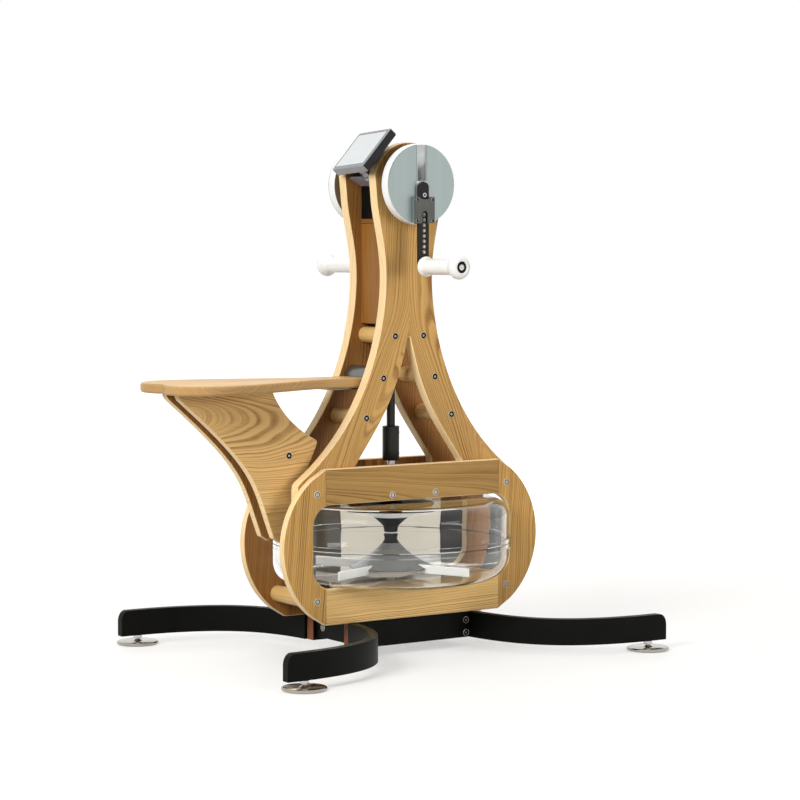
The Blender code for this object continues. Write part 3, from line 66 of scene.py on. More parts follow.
def blendColour(tree, amount, a, b, mode="MIX"):
    node = addNode(tree, "ShaderNodeMix", {0: amount, 6: a, 7: b}, data_type="RGBA", blend_type=mode)
    return node.outputs[2]


def stretched(tree, vector, scale, shift=(0.0, 0.0, 0.0)):
    return addNode(tree, "ShaderNodeMapping", {"Vector": vector, "Location": shift, "Scale": scale}).outputs[0]


def ramp(tree, value, stops):
    node = addNode(tree, "ShaderNodeValToRGB", {0: value})
    marks = node.color_ramp.elements
    while len(marks) < len(stops):
        marks.new(0.5)
    for mark, (place, grey) in zip(marks, stops):
        mark.position = place
        mark.color = (grey, grey, grey, 1.0)
    return node.outputs[0]


def newGroup(name, inputs, outputs):
    group = bpy.data.node_groups.new(name, "ShaderNodeTree")
    for label, kind, value in inputs:
        socket = group.interface.new_socket(name=label, in_out="INPUT", socket_type=kind)
        if value is not None:
            socket.default_value = value
    for label, kind in outputs:
        group.interface.new_socket(name=label, in_out="OUTPUT", socket_type=kind)
    return group, group.nodes.new("NodeGroupInput").outputs, group.nodes.new("NodeGroupOutput").inputs


def addGroup(tree, group, sockets):
    node = tree.nodes.new("ShaderNodeGroup")
    node.node_tree = group
    for key, value in sockets.items():
        if isinstance(value, bpy.types.NodeSocket):
            tree.links.new(value, node.inputs[key])
        else:
            node.inputs[key].default_value = value
    return node.outputs


# ash grain: x runs along the board, y across it, z into it

vectorSocket, colourSocket, numberSocket = "NodeSocketVector", "NodeSocketColor", "NodeSocketFloat"


def makeAshGrain():
    group, given, made = newGroup(
        "ashGrain",
        [
            ("Vector", vectorSocket, None),
            ("Light", colourSocket, (0.66, 0.43, 0.21, 1.0)),
            ("Dark", colourSocket, (0.40, 0.22, 0.09, 1.0)),
            ("Rings", numberSocket, 190.0),
            ("Depth", numberSocket, 0.03),
            ("Lean", numberSocket, 0.10),
            ("Figure", numberSocket, 0.05),
            ("Contrast", numberSocket, 0.6),
        ],
        [("Color", colourSocket), ("Roughness", numberSocket), ("Height", numberSocket)],
    )
    spot = given["Vector"]
    split = addNode(group, "ShaderNodeSeparateXYZ", {0: spot}).outputs
    slow = addNode(group, "ShaderNodeTexNoise", {"Vector": stretched(group, spot, (2.6, 8.0, 8.0)), "Scale": 1.0, "Detail": 2.0})
    fine = addNode(group, "ShaderNodeTexNoise", {"Vector": stretched(group, spot, (7.0, 60.0, 60.0)), "Scale": 1.0, "Detail": 3.0})
    sway = calc(group, "MULTIPLY", calc(group, "SUBTRACT", slow.outputs[0], 0.5), given["Figure"])
    shiver = calc(group, "MULTIPLY", calc(group, "SUBTRACT", fine.outputs[0], 0.5), 0.004)
    across = calc(group, "ADD", calc(group, "ADD", split[1], sway), shiver)
    below = calc(group, "ADD", calc(group, "MULTIPLY_ADD", split[0], given["Lean"], given["Depth"]), split[2])
    squares = calc(group, "ADD", calc(group, "MULTIPLY", across, across), calc(group, "MULTIPLY", below, below))
    ringCount = calc(group, "MULTIPLY", calc(group, "SQRT", squares), given["Rings"])
    # the years differ in width and in darkness, and fine lines follow the same curves
    years = addNode(group, "ShaderNodeTexNoise", {"W": calc(group, "MULTIPLY", ringCount, 0.31), "Scale": 1.0, "Detail": 1.0}, noise_dimensions="1D")
    grown = calc(group, "MULTIPLY_ADD", calc(group, "SUBTRACT", years.outputs[0], 0.5), 2.2, ringCount)
    year = addNode(group, "ShaderNodeTexWhiteNoise", {"W": calc(group, "FLOOR", grown)}, noise_dimensions="1D")
    ringed = ramp(group, calc(group, "FRACT", grown), [(0.0, 1.0), (0.16, 0.72), (0.42, 0.24), (0.82, 0.0), (1.0, 0.75)])
    growth = calc(group, "MULTIPLY", ringed, calc(group, "MULTIPLY_ADD", year.outputs[0], 0.75, 0.25))
    hairs = addNode(group, "ShaderNodeTexNoise", {"W": calc(group, "MULTIPLY", grown, 1.7), "Scale": 1.0, "Detail": 3.0}, noise_dimensions="1D")
    hairLines = ramp(group, hairs.outputs[0], [(0.46, 0.0), (0.72, 1.0)])
    pores = addNode(group, "ShaderNodeTexNoise", {"Vector": stretched(group, spot, (26.0, 900.0, 900.0)), "Scale": 1.0, "Detail": 2.0})
    poreMask = ramp(group, pores.outputs[0], [(0.0, 0.0), (0.54, 0.0), (0.70, 1.0)])
    poreDark = calc(group, "MULTIPLY", poreMask, calc(group, "MULTIPLY_ADD", growth, 0.55, 0.15))
    streaks = addNode(group, "ShaderNodeTexNoise", {"Vector": stretched(group, spot, (3.0, 34.0, 34.0)), "Scale": 1.0, "Detail": 1.0})
    tone = ramp(group, streaks.outputs[0], [(0.35, 0.0), (0.65, 1.0)])
    lineDark = calc(group, "MULTIPLY", calc(group, "MULTIPLY", growth, calc(group, "MULTIPLY_ADD", tone, 0.5, 0.5)), given["Contrast"])
    hairDark = calc(group, "MULTIPLY", calc(group, "MULTIPLY", hairLines, given["Contrast"]), 0.42)
    lines = calc(group, "ADD", lineDark, hairDark)
    amount = calc(group, "MINIMUM", calc(group, "ADD", lines, calc(group, "MULTIPLY", poreDark, 0.55)), 1.0)
    grained = blendColour(group, amount, given["Light"], given["Dark"])
    patch = addNode(group, "ShaderNodeTexNoise", {"Vector": stretched(group, spot, (1.6, 5.0, 5.0)), "Scale": 1.0, "Detail": 1.0})
    patchy = ramp(group, patch.outputs[0], [(0.3, 0.80), (0.7, 1.0)])
    coloured = blendColour(group, 1.0, grained, patchy, "MULTIPLY")
    group.links.new(coloured, made["Color"])
    group.links.new(calc(group, "MULTIPLY_ADD", poreDark, 0.25, 0.36), made["Roughness"])
    group.links.new(calc(group, "MULTIPLY", amount, -1.0), made["Height"])
    return group


def makeHandling():
    # dust, finger marks and fine scuffs: a mask for colour, one for gloss and a height
    group, given, made = newGroup(
        "handlingMarks",
        [("Vector", vectorSocket, None), ("Scale", numberSocket, 1.0), ("Amount", numberSocket, 1.0)],
        [("Dust", numberSocket), ("Gloss", numberSocket), ("Height", numberSocket)],
    )
    cloudy = addNode(group, "ShaderNodeTexNoise", {"Vector": given["Vector"], "Scale": calc(group, "MULTIPLY", given["Scale"], 18.0), "Detail": 5.0})
    speckle = addNode(group, "ShaderNodeTexNoise", {"Vector": given["Vector"], "Scale": calc(group, "MULTIPLY", given["Scale"], 520.0), "Detail": 2.0})
    dust = calc(group, "MULTIPLY", ramp(group, cloudy.outputs[0], [(0.42, 0.0), (0.78, 1.0)]), given["Amount"])
    group.links.new(dust, made["Dust"])
    group.links.new(calc(group, "MULTIPLY", calc(group, "SUBTRACT", cloudy.outputs[0], 0.5), given["Amount"]), made["Gloss"])
    group.links.new(calc(group, "MULTIPLY", speckle.outputs[0], given["Amount"]), made["Height"])
    return group


ashGrain = makeAshGrain()
handlingMarks = makeHandling()
print("stage: shader groups made")

# materials


def startMaterial(name):
    made = bpy.data.materials.new(name)
    made.use_nodes = True
    tree = made.node_tree
    return made, tree, tree.nodes["Principled BSDF"], addNode(tree, "ShaderNodeTexCoord").outputs["Object"]


def bumpFrom(tree, shader, height, strength, distance):
    bump = addNode(tree, "ShaderNodeBump", {"Height": height, "Strength": strength, "Distance": distance})
    tree.links.new(bump.outputs[0], shader.inputs["Normal"])


def boardSpace(tree, spot, turn, middle):
    # turns a piece's own space so that x follows the board
    node = addNode(tree, "ShaderNodeMapping", {"Vector": spot, "Location": middle, "Rotation": turn}, vector_type="TEXTURE")
    return node.outputs[0]


ashLooks = {
    # name: turn of the board, its middle, light and dark colours, rings, depth, lean, figure, contrast, gloss
    "ashTower": ((0, -1.5708, 0), (0.052, 0.0, 0.78), (0.63, 0.370, 0.122), (0.23, 0.098, 0.023), 240, 0.045, 0.055, 0.026, 0.97, 0.20),
    "ashSeat": ((0, 0, 0), (-0.30, 0.012, 0.57), (0.68, 0.440, 0.190), (0.38, 0.195, 0.066), 250, 0.060, 0.020, 0.016, 0.60, 0.12),
    # a darker copy of the seat wood: painted shade on the seat's rim
    "ashSeatShadedEdge": ((0, 0, 0), (-0.30, 0.012, 0.57), (0.50, 0.305, 0.125), (0.27, 0.130, 0.042), 250, 0.060, 0.020, 0.016, 0.60, 0.15),
    "ashBracket": ((1.5708, 0.05, 0), (-0.34, 0.0, 0.50), (0.74, 0.475, 0.185), (0.28, 0.130, 0.034), 230, 0.026, 0.13, 0.085, 0.95, 0.20),
    "ashDowel": ((0, 0, 1.5708), (0.0, 0.0, 0.5), (0.72, 0.460, 0.175), (0.42, 0.22, 0.070), 240, 0.05, 0.02, 0.02, 0.55, 0.20),
    # made darker than the tower wood: painted shade for the panels between the plates
    "ashPanel": ((0, -1.5708, 1.5708), (0.0, 0.02, 0.8), (0.33, 0.145, 0.028), (0.13, 0.045, 0.008), 230, 0.03, 0.05, 0.03, 0.95, 0.20),
    # made darker than the tower wood: painted shade for the shelf and bearing block between the plates
    "ashBlock": ((0, 0, 0), (0.04, 0.0, 0.33), (0.24, 0.105, 0.026), (0.12, 0.045, 0.010), 220, 0.03, 0.04, 0.02, 0.75, 0.15),
    # a lighter copy of the tower wood: painted highlight on the sides of the boards
    "ashLitEdge": ((0, -1.5708, 0), (0.052, 0.0, 0.78), (0.93, 0.690, 0.375), (0.68, 0.430, 0.180), 200, 0.040, 0.05, 0.030, 0.45, 0.25),
    # a darker, redder copy of the tower wood: painted shade on the inner faces
    "ashShadedInner": ((0, -1.5708, 0), (0.052, 0.0, 0.70), (0.41, 0.185, 0.050), (0.16, 0.060, 0.012), 210, 0.030, 0.07, 0.040, 0.95, 0.20),
}
ashCoat = {"weight": 0.03, "roughness": 0.40}
towerGrain = {"start": 0.72, "slope": 0.52, "soften": 0.08}


def legSpace(tree, spot):
    # below the fork the boards lean outwards, so their grain follows each leg
    split = addNode(tree, "ShaderNodeSeparateXYZ", {0: spot}).outputs
    across = calc(tree, "SUBTRACT", split[0], shaftX)
    drop = calc(tree, "SMOOTH_MAX", calc(tree, "SUBTRACT", towerGrain["start"], split[2]), 0.0, towerGrain["soften"])
    lean = calc(tree, "MULTIPLY", calc(tree, "MULTIPLY", drop, towerGrain["slope"]), calc(tree, "SIGN", across))
    other = calc(tree, "MULTIPLY", calc(tree, "SIGN", across), calc(tree, "MULTIPLY", drop, 0.08))
    return addNode(tree, "ShaderNodeCombineXYZ", {0: calc(tree, "SUBTRACT", split[0], lean), 1: calc(tree, "ADD", split[1], other), 2: split[2]}).outputs[0]


def makeAsh(name):
    turn, middle, light, dark, rings, depth, lean, figure, contrast, gloss = ashLooks[name]
    made, tree, shader, spot = startMaterial(name)
    grown = legSpace(tree, spot) if name == "ashTower" else spot
    grain = addGroup(
        tree,
        ashGrain,
        {
            "Vector": boardSpace(tree, grown, turn, middle),
            "Light": (*light, 1.0),
            "Dark": (*dark, 1.0),
            "Rings": rings,
            "Depth": depth,
            "Lean": lean,
            "Figure": figure,
            "Contrast": contrast,
        },
    )
    marks = addGroup(tree, handlingMarks, {"Vector": spot, "Scale": 1.0, "Amount": 0.6})
    tree.links.new(grain["Color"], shader.inputs["Base Color"])
    tree.links.new(calc(tree, "MULTIPLY_ADD", marks["Gloss"], 0.15, grain["Roughness"]), shader.inputs["Roughness"])
    shader.inputs["Coat Weight"].default_value = ashCoat["weight"]
    shader.inputs["Coat Roughness"].default_value = ashCoat["roughness"]
    shader.inputs["Specular IOR Level"].default_value = gloss
    bumpFrom(tree, shader, grain["Height"], 0.25, 0.0006)
    return made


frameWood = {
    "joint": 0.219,
    "line": 0.0005,
    "barLight": (0.85, 0.560, 0.220, 1.0),
    "barDark": (0.34, 0.165, 0.044, 1.0),
    "topShade": (0.56, 0.50, 0.41, 1.0),
    "middle": 0.23655,
    "endLight": (0.66, 0.380, 0.115, 1.0),
    "endDark": (0.18, 0.072, 0.013, 1.0),
    "glue": (0.20, 0.09, 0.03, 1.0),
    "gloss": 0.20,
}


def makeFrameAsh():
    # long bars above and below the window, and end blocks whose grain stands upright
    made, tree, shader, spot = startMaterial("ashFrame")
    split = addNode(tree, "ShaderNodeSeparateXYZ", {0: spot}).outputs
    fromMiddle = calc(tree, "ABSOLUTE", calc(tree, "SUBTRACT", split[0], shaftX))
    isEnd = calc(tree, "GREATER_THAN", fromMiddle, frameWood["joint"])
    isLine = calc(tree, "COMPARE", fromMiddle, frameWood["joint"], frameWood["line"])
    bar = addGroup(
        tree,
        ashGrain,
        {
            "Vector": boardSpace(tree, spot, (1.5708, 0, 0), (-0.05, 0.0, 0.30)),
            "Light": frameWood["barLight"],
            "Dark": frameWood["barDark"],
            "Rings": 300.0,
            "Depth": 0.03,
            "Lean": 0.05,
            "Figure": 0.025,
            "Contrast": 0.95,
        },
    )
    end = addGroup(
        tree,
        ashGrain,
        {
            "Vector": boardSpace(tree, spot, (0, -1.5708, 0), (0.39, 0.0, 0.20)),
            "Light": frameWood["endLight"],
            "Dark": frameWood["endDark"],
            "Rings": 230.0,
            "Depth": 0.03,
            "Lean": 0.09,
            "Figure": 0.04,
            "Contrast": 1.0,
        },
    )
    # the bar above the window is multiplied darker than the one below: painted shade
    isTop = calc(tree, "GREATER_THAN", split[2], frameWood["middle"])
    bars = blendColour(tree, isTop, bar["Color"], blendColour(tree, 1.0, bar["Color"], frameWood["topShade"], "MULTIPLY"))
    wood = blendColour(tree, isEnd, bars, end["Color"])
    joined = blendColour(tree, calc(tree, "MULTIPLY", isLine, 0.7), wood, frameWood["glue"])
    rough = addNode(tree, "ShaderNodeMix", {0: isEnd, 2: bar["Roughness"], 3: end["Roughness"]})
    height = addNode(tree, "ShaderNodeMix", {0: isEnd, 2: bar["Height"], 3: end["Height"]})
    tree.links.new(joined, shader.inputs["Base Color"])
    tree.links.new(rough.outputs[0], shader.inputs["Roughness"])
    shader.inputs["Coat Weight"].default_value = ashCoat["weight"]
    shader.inputs["Coat Roughness"].default_value = ashCoat["roughness"]
    shader.inputs["Specular IOR Level"].default_value = frameWood["gloss"]
    bumpFrom(tree, shader, calc(tree, "SUBTRACT", height.outputs[0], isLine), 0.25, 0.0006)
    return made


blackWoodLook = {
    "paint": (0.0034, 0.0036, 0.0028, 1.0),
    "worn": (0.0085, 0.0082, 0.0070, 1.0),
    "specular": 0.07,
    "endWood": (0.30, 0.12, 0.055, 1.0),
    "endDark": (0.13, 0.05, 0.025, 1.0),
    "railEnd": -0.1572,
}


def makeBlackWood(name, bareEnds):
    # satin black paint over fine grain; the rails' ends on the user's side are left bare
    made, tree, shader, spot = startMaterial(name)
    marks = addGroup(tree, handlingMarks, {"Vector": spot, "Scale": 0.6, "Amount": 0.8})
    streak = addNode(tree, "ShaderNodeTexNoise", {"Vector": stretched(tree, spot, (30.0, 30.0, 700.0)), "Scale": 1.0, "Detail": 3.0})
    painted = blendColour(tree, calc(tree, "MULTIPLY", marks["Dust"], 0.5), blackWoodLook["paint"], blackWoodLook["worn"])
    colour = painted
    if bareEnds:
        split = addNode(tree, "ShaderNodeSeparateXYZ", {0: spot}).outputs
        bare = calc(tree, "LESS_THAN", split[0], blackWoodLook["railEnd"] + shaftX)
        rings = addNode(tree, "ShaderNodeTexNoise", {"Vector": stretched(tree, spot, (40.0, 500.0, 120.0)), "Scale": 1.0, "Detail": 3.0})
        endGrain = blendColour(tree, rings.outputs[0], blackWoodLook["endWood"], blackWoodLook["endDark"])
        colour = blendColour(tree, bare, painted, endGrain)
    tree.links.new(colour, shader.inputs["Base Color"])
    tree.links.new(calc(tree, "MULTIPLY_ADD", marks["Gloss"], 0.25, 0.42), shader.inputs["Roughness"])
    shader.inputs["Specular IOR Level"].default_value = blackWoodLook["specular"]
    bumpFrom(tree, shader, streak.outputs[0], 0.12, 0.0004)
    return made


plainLooks = {
    # name: colour, second colour, share of the second, metallic, roughness, its spread, bump, specular
    "blackMetal": ((0.020, 0.021, 0.019), (0.045, 0.045, 0.042), 0.35, 0.6, 0.38, 0.25, 0.06, 0.4),
    "barPaint": ((0.011, 0.011, 0.010), (0.020, 0.019, 0.017), 0.35, 0.0, 0.42, 0.20, 0.06, 0.22),
    "stripMetal": ((0.50, 0.53, 0.52), (0.38, 0.41, 0.40), 0.35, 1.0, 0.46, 0.20, 0.04, 0.5),
    "screwHead": ((0.52, 0.51, 0.48), (0.32, 0.31, 0.29), 0.35, 0.9, 0.30, 0.20, 0.04, 0.5),
    "darkPlate": ((0.105, 0.108, 0.098), (0.15, 0.15, 0.14), 0.35, 0.8, 0.36, 0.20, 0.06, 0.5),
    # a dull brown for the back of the white discs: painted shade
    "discBack": ((0.13, 0.10, 0.055), (0.18, 0.14, 0.08), 0.35, 0.0, 0.50, 0.20, 0.08, 0.3),
    "blackMoulding": ((0.0040, 0.0038, 0.0034), (0.010, 0.009, 0.008), 0.30, 0.0, 0.50, 0.20, 0.10, 0.05),
    "slateMoulding": ((0.15, 0.15, 0.14), (0.21, 0.21, 0.195), 0.40, 0.0, 0.42, 0.20, 0.08, 0.4),
    "paleMoulding": ((0.80, 0.79, 0.75), (0.66, 0.64, 0.60), 0.40, 0.0, 0.40, 0.20, 0.08, 0.5),
    "brightSteel": ((0.62, 0.62, 0.61), (0.40, 0.40, 0.39), 0.35, 1.0, 0.24, 0.25, 0.04, 0.5),
    "cupRing": ((0.68, 0.62, 0.50), (0.46, 0.40, 0.31), 0.35, 0.5, 0.36, 0.20, 0.04, 0.5),
    "recessShadeBlack": ((0.003, 0.003, 0.003), (0.010, 0.009, 0.008), 0.30, 0.0, 0.60, 0.10, 0.04, 0.15),
    "chromeFoot": ((0.44, 0.41, 0.36), (0.28, 0.26, 0.22), 0.40, 1.0, 0.13, 0.20, 0.03, 0.5),
    "tubeSteel": ((0.22, 0.22, 0.21), (0.14, 0.14, 0.135), 0.35, 0.9, 0.34, 0.20, 0.05, 0.5),
    "greyBracket": ((0.34, 0.34, 0.38), (0.24, 0.24, 0.27), 0.35, 0.3, 0.42, 0.20, 0.08, 0.5),
    "sealRubber": ((0.02, 0.02, 0.02), (0.05, 0.05, 0.05), 0.40, 0.0, 0.75, 0.10, 0.15, 0.3),
    "monitorPlastic": ((0.010, 0.010, 0.011), (0.025, 0.025, 0.027), 0.30, 0.0, 0.40, 0.20, 0.10, 0.25),
    "monitorBezelAndLitUnderside": ((0.21, 0.225, 0.230), (0.165, 0.180, 0.185), 0.35, 0.0, 0.40, 0.15, 0.08, 0.5),
}


def makePlain(name):
    colour, second, share, metallic, rough, spread, bump, specular = plainLooks[name]
    made, tree, shader, spot = startMaterial(name)
    marks = addGroup(tree, handlingMarks, {"Vector": spot, "Scale": 2.0, "Amount": 1.0})
    mixed = blendColour(tree, calc(tree, "MULTIPLY", marks["Dust"], share), (*colour, 1.0), (*second, 1.0))
    tree.links.new(mixed, shader.inputs["Base Color"])
    shader.inputs["Metallic"].default_value = metallic
    shader.inputs["Specular IOR Level"].default_value = specular
    tree.links.new(calc(tree, "MULTIPLY_ADD", marks["Gloss"], spread, rough), shader.inputs["Roughness"])
    bumpFrom(tree, shader, marks["Height"], bump, 0.0002)
    return made


polishedLook = {"colour": (0.43, 0.497, 0.487, 1.0), "second": (0.34, 0.395, 0.388, 1.0), "roughness": 0.42}


def makePolished():
    # brushed face of the crank discs, the brushing runs up and down the face
    made, tree, shader, spot = startMaterial("polishedFace")
    lines = addNode(tree, "ShaderNodeTexNoise", {"Vector": stretched(tree, spot, (1600.0, 20.0, 12.0)), "Scale": 1.0, "Detail": 2.0})
    paintedReflectionBands = addNode(tree, "ShaderNodeTexNoise", {"Vector": stretched(tree, spot, (30.0, 2.0, 1.0)), "Scale": 1.0, "Detail": 1.0})
    marks = addGroup(tree, handlingMarks, {"Vector": spot, "Scale": 1.5, "Amount": 0.5})
    # broad upright bands in the colour are painted reflection bands
    tree.links.new(blendColour(tree, paintedReflectionBands.outputs[0], polishedLook["colour"], polishedLook["second"]), shader.inputs["Base Color"])
    shader.inputs["Metallic"].default_value = 1.0
    rough = calc(tree, "MULTIPLY_ADD", marks["Gloss"], 0.15, polishedLook["roughness"])
    tree.links.new(calc(tree, "MULTIPLY_ADD", lines.outputs[0], 0.08, rough), shader.inputs["Roughness"])
    bumpFrom(tree, shader, lines.outputs[0], 0.08, 0.0001)
    return made


def makeWhite(name, colour, glow, rough):
    # white urethane and nylon, slightly see-through at thin edges
    made, tree, shader, spot = startMaterial(name)
    marks = addGroup(tree, handlingMarks, {"Vector": spot, "Scale": 1.4, "Amount": 1.0})
    dusty = tuple(channel * 0.88 for channel in colour)
    tree.links.new(blendColour(tree, calc(tree, "MULTIPLY", marks["Dust"], 0.5), (*colour, 1.0), (*dusty, 1.0)), shader.inputs["Base Color"])
    tree.links.new(calc(tree, "MULTIPLY_ADD", marks["Gloss"], 0.2, rough), shader.inputs["Roughness"])
    shader.inputs["Subsurface Weight"].default_value = glow
    shader.inputs["Subsurface Radius"].default_value = (0.012, 0.012, 0.012)
    shader.inputs["Subsurface Scale"].default_value = 1.0
    bumpFrom(tree, shader, marks["Height"], 0.06, 0.0002)
    return made


def makeClear():
    made, tree, shader, spot = startMaterial("clearTank")
    marks = addGroup(tree, handlingMarks, {"Vector": spot, "Scale": 0.7, "Amount": 1.0})
    shader.inputs["Base Color"].default_value = (0.97, 0.98, 0.98, 1.0)
    shader.inputs["Transmission Weight"].default_value = 1.0
    shader.inputs["IOR"].default_value = 1.22
    tree.links.new(calc(tree, "MAXIMUM", calc(tree, "MULTIPLY", marks["Gloss"], 0.02), 0.0), shader.inputs["Roughness"])
    return made


def makeScreen():
    made, tree, shader, spot = startMaterial("screenGlass")
    marks = addGroup(tree, handlingMarks, {"Vector": spot, "Scale": 2.0, "Amount": 1.0})
    tree.links.new(blendColour(tree, calc(tree, "MULTIPLY", marks["Dust"], 0.4), (0.50, 0.52, 0.52, 1.0), (0.43, 0.45, 0.46, 1.0)), shader.inputs["Base Color"])
    tree.links.new(calc(tree, "MULTIPLY_ADD", marks["Gloss"], 0.1, 0.16), shader.inputs["Roughness"])
    shader.inputs["Coat Weight"].default_value = 0.5
    bumpFrom(tree, shader, marks["Height"], 0.02, 0.0001)
    return made


looks = {name: makeAsh(name) for name in ashLooks}
looks.update({name: makePlain(name) for name in plainLooks})
looks["ashFrame"] = makeFrameAsh()
looks["blackLegs"] = makeBlackWood("blackLegs", False)
looks["blackRails"] = makeBlackWood("blackRails", True)
looks["polishedFace"] = makePolished()
looks["whiteDisc"] = makeWhite("whiteDisc", (0.80, 0.79, 0.77), 0.0, 0.36)
looks["whiteGrip"] = makeWhite("whiteGrip", (0.80, 0.79, 0.765), 0.12, 0.32)
looks["clearTank"] = makeClear()
looks["screenGlass"] = makeScreen()
print("stage: materials made")

# shape helpers


def arcLine(centre, radius, start, end, steps):
    points = []
    for n in range(steps + 1):
        angle = math.radians(start + (end - start) * n / steps)
        points.append((centre[0] + radius * math.cos(angle), centre[1] + radius * math.sin(angle)))
    return points


def bowLine(corners, steps):
    # one bowed stretch from four corners: start, two handles, end
    line = interpolate_bezier(*[Vector((x, y, 0.0)) for x, y in corners], steps)
    return [(point.x, point.y) for point in line]


def finishPiece(bm, name, body, look, nodes=(), crisp=35.0, edge=0.0, edgeSteps=3, weighted=False, place=None):
    # merges, turns faces outwards, sets the shape in the frame and hands it to its body
    bmesh.ops.remove_doubles(bm, verts=bm.verts, dist=1e-6)
    if place is not None:
        bmesh.ops.transform(bm, matrix=place, verts=bm.verts)
    bmesh.ops.recalc_face_normals(bm, faces=bm.faces)
    bmesh.ops.translate(bm, vec=(shaftX, 0.0, 0.0), verts=bm.verts)
    mesh = bpy.data.meshes.new(name)
    bm.to_mesh(mesh)
    bm.free()
    mesh.shade_smooth()
    mesh.set_sharp_from_angle(angle=math.radians(crisp))
    for one in look if isinstance(look, (list, tuple)) else [look]:
        mesh.materials.append(looks[one])
    obj = bpy.data.objects.new(name, mesh)
    bpy.context.scene.collection.objects.link(obj)
    if edge:
        rounding = obj.modifiers.new("rounding", "BEVEL")
        rounding.width = edge
        rounding.segments = edgeSteps
        rounding.limit_method = "ANGLE"
        rounding.angle_limit = math.radians(45.0)
        rounding.use_clamp_overlap = False
        rounding.harden_normals = True
    if weighted:
        even = obj.modifiers.new("even", "WEIGHTED_NORMAL")
        even.keep_sharp = True
    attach(obj, body)
    if nodes:
        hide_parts(*nodes)
    return obj


def markEdges(bm, side, reach=0.8):
    # the sides of an upright board take the second material, a lighter copy of its wood as painted highlight, and its
    # inner face the third, a darker copy as painted shade
    for face in bm.faces:
        face.normal_update()
        if abs(face.normal.y) < reach:
            face.material_index = 1
        elif face.normal.y * side < 0:
            face.material_index = 2
    return bm


def markSides(bm, reach=0.75):
    # the rim of a lying board takes the second material, a darker copy of its wood as painted shade
    for face in bm.faces:
        face.normal_update()
        if abs(face.normal.z) < reach:
            face.material_index = 1
    return bm


def roundOver(bm, faces, radius, steps):
    # rounds the rim of a flat face outwards with insets that follow a quarter circle
    for n in range(1, steps + 1):
        before = math.radians(90.0 * (n - 1) / steps)
        after = math.radians(90.0 * n / steps)
        bmesh.ops.inset_region(
            bm,
            faces=faces,
            use_boundary=True,
            use_even_offset=True,
            thickness=radius * (math.cos(before) - math.cos(after)),
            depth=radius * (math.sin(after) - math.sin(before)),
        )


def flatPlate(outline, thickness, radius, holes=(), steps=3):
    # a plate about z = 0 with rounded rims; holes keep the same rounding
    bm = bmesh.new()
    edges = []
    low = radius - thickness / 2
    for line in (outline, *holes):
        ring = [bm.verts.new((x, y, low)) for x, y in line]
        edges += [bm.edges.new(pair) for pair in zip(ring, ring[1:] + ring[:1])]
    bmesh.ops.triangle_fill(bm, edges=edges, use_beauty=True, use_dissolve=False)
    flat = bm.faces[:]
    raised = bmesh.ops.extrude_face_region(bm, geom=flat)["geom"]
    bmesh.ops.translate(bm, vec=(0.0, 0.0, thickness - 2 * radius), verts=[v for v in raised if isinstance(v, bmesh.types.BMVert)])
    bmesh.ops.recalc_face_normals(bm, faces=bm.faces)
    for height in (low, -low):
        cap = [face for face in bm.faces if all(abs(v.co.z - height) < 1e-6 for v in face.verts)]
        roundOver(bm, cap, radius, steps)
    return bm


def standUp(bm, y, side=1):
    # turns a plate made in the xy plane into the xz plane at y, mirrored for the rear
    bmesh.ops.transform(bm, matrix=Matrix.Translation((0.0, y * side, 0.0)) @ Matrix.Rotation(math.pi / 2, 4, "X"), verts=bm.verts)
    return bm


def turnedShape(profile, soften=0.0, steps=64, ring=False, softSteps=3):
    # spins (radius, height) corners about z, with the corners softened first
    bm = bmesh.new()
    corners = [bm.verts.new((radius, 0.0, height)) for radius, height in profile]
    following = corners[1:] + (corners[:1] if ring else [])
    for pair in zip(corners, following):
        bm.edges.new(pair)
    if soften:
        inner = [v for v in bm.verts if len(v.link_edges) == 2 and v.co.x > 1e-6]
        bmesh.ops.bevel(bm, geom=inner, offset=soften, segments=softSteps, profile=0.5, affect="VERTICES", material=-1, clamp_overlap=True)
    bmesh.ops.spin(
        bm, geom=bm.verts[:] + bm.edges[:], cent=(0.0, 0.0, 0.0), axis=(0.0, 0.0, 1.0), angle=2 * math.pi, steps=steps, use_merge=True
    )
    bmesh.ops.remove_doubles(bm, verts=bm.verts, dist=1e-6)
    bmesh.ops.recalc_face_normals(bm, faces=bm.faces)
    return bm


def boxShape(size, centre=(0.0, 0.0, 0.0)):
    bm = bmesh.new()
    bmesh.ops.create_cube(bm, size=1.0)
    bmesh.ops.scale(bm, vec=size, verts=bm.verts)
    bmesh.ops.translate(bm, vec=centre, verts=bm.verts)
    return bm


def addCopies(bm, source, places):
    # stamps a shape into bm at each place, and frees it
    mesh = bpy.data.meshes.new("stamp")
    bmesh.ops.recalc_face_normals(source, faces=source.faces)
    source.to_mesh(mesh)
    source.free()
    for place in places:
        start = len(bm.verts)
        bm.from_mesh(mesh)
        bm.verts.ensure_lookup_table()
        bmesh.ops.transform(bm, matrix=place, verts=bm.verts[start:])
    bpy.data.meshes.remove(mesh)
    return bm


def faceOut(x, y, z, side):
    # sets a part made along +z on a face that looks towards side * y
    return Matrix.Translation((x, y, z)) @ Matrix.Rotation(-side * math.pi / 2, 4, "X")


def alongY(bm):
    bmesh.ops.rotate(bm, matrix=Matrix.Rotation(math.pi / 2, 3, "X"), verts=bm.verts)
    return bm


# cup screws have a ring, a dark cup and a bright head; cap screws have a wide bright head; the cup and the socket of
# both are painted black as painted shade in the recesses

cupScrew = {"ring": 0.0073, "cup": 0.0064, "head": 0.0023, "socket": 0.0009, "height": 0.0012}
capScrew = {"ring": 0.0074, "cup": 0.0058, "head": 0.0038, "socket": 0.0013, "height": 0.0012}


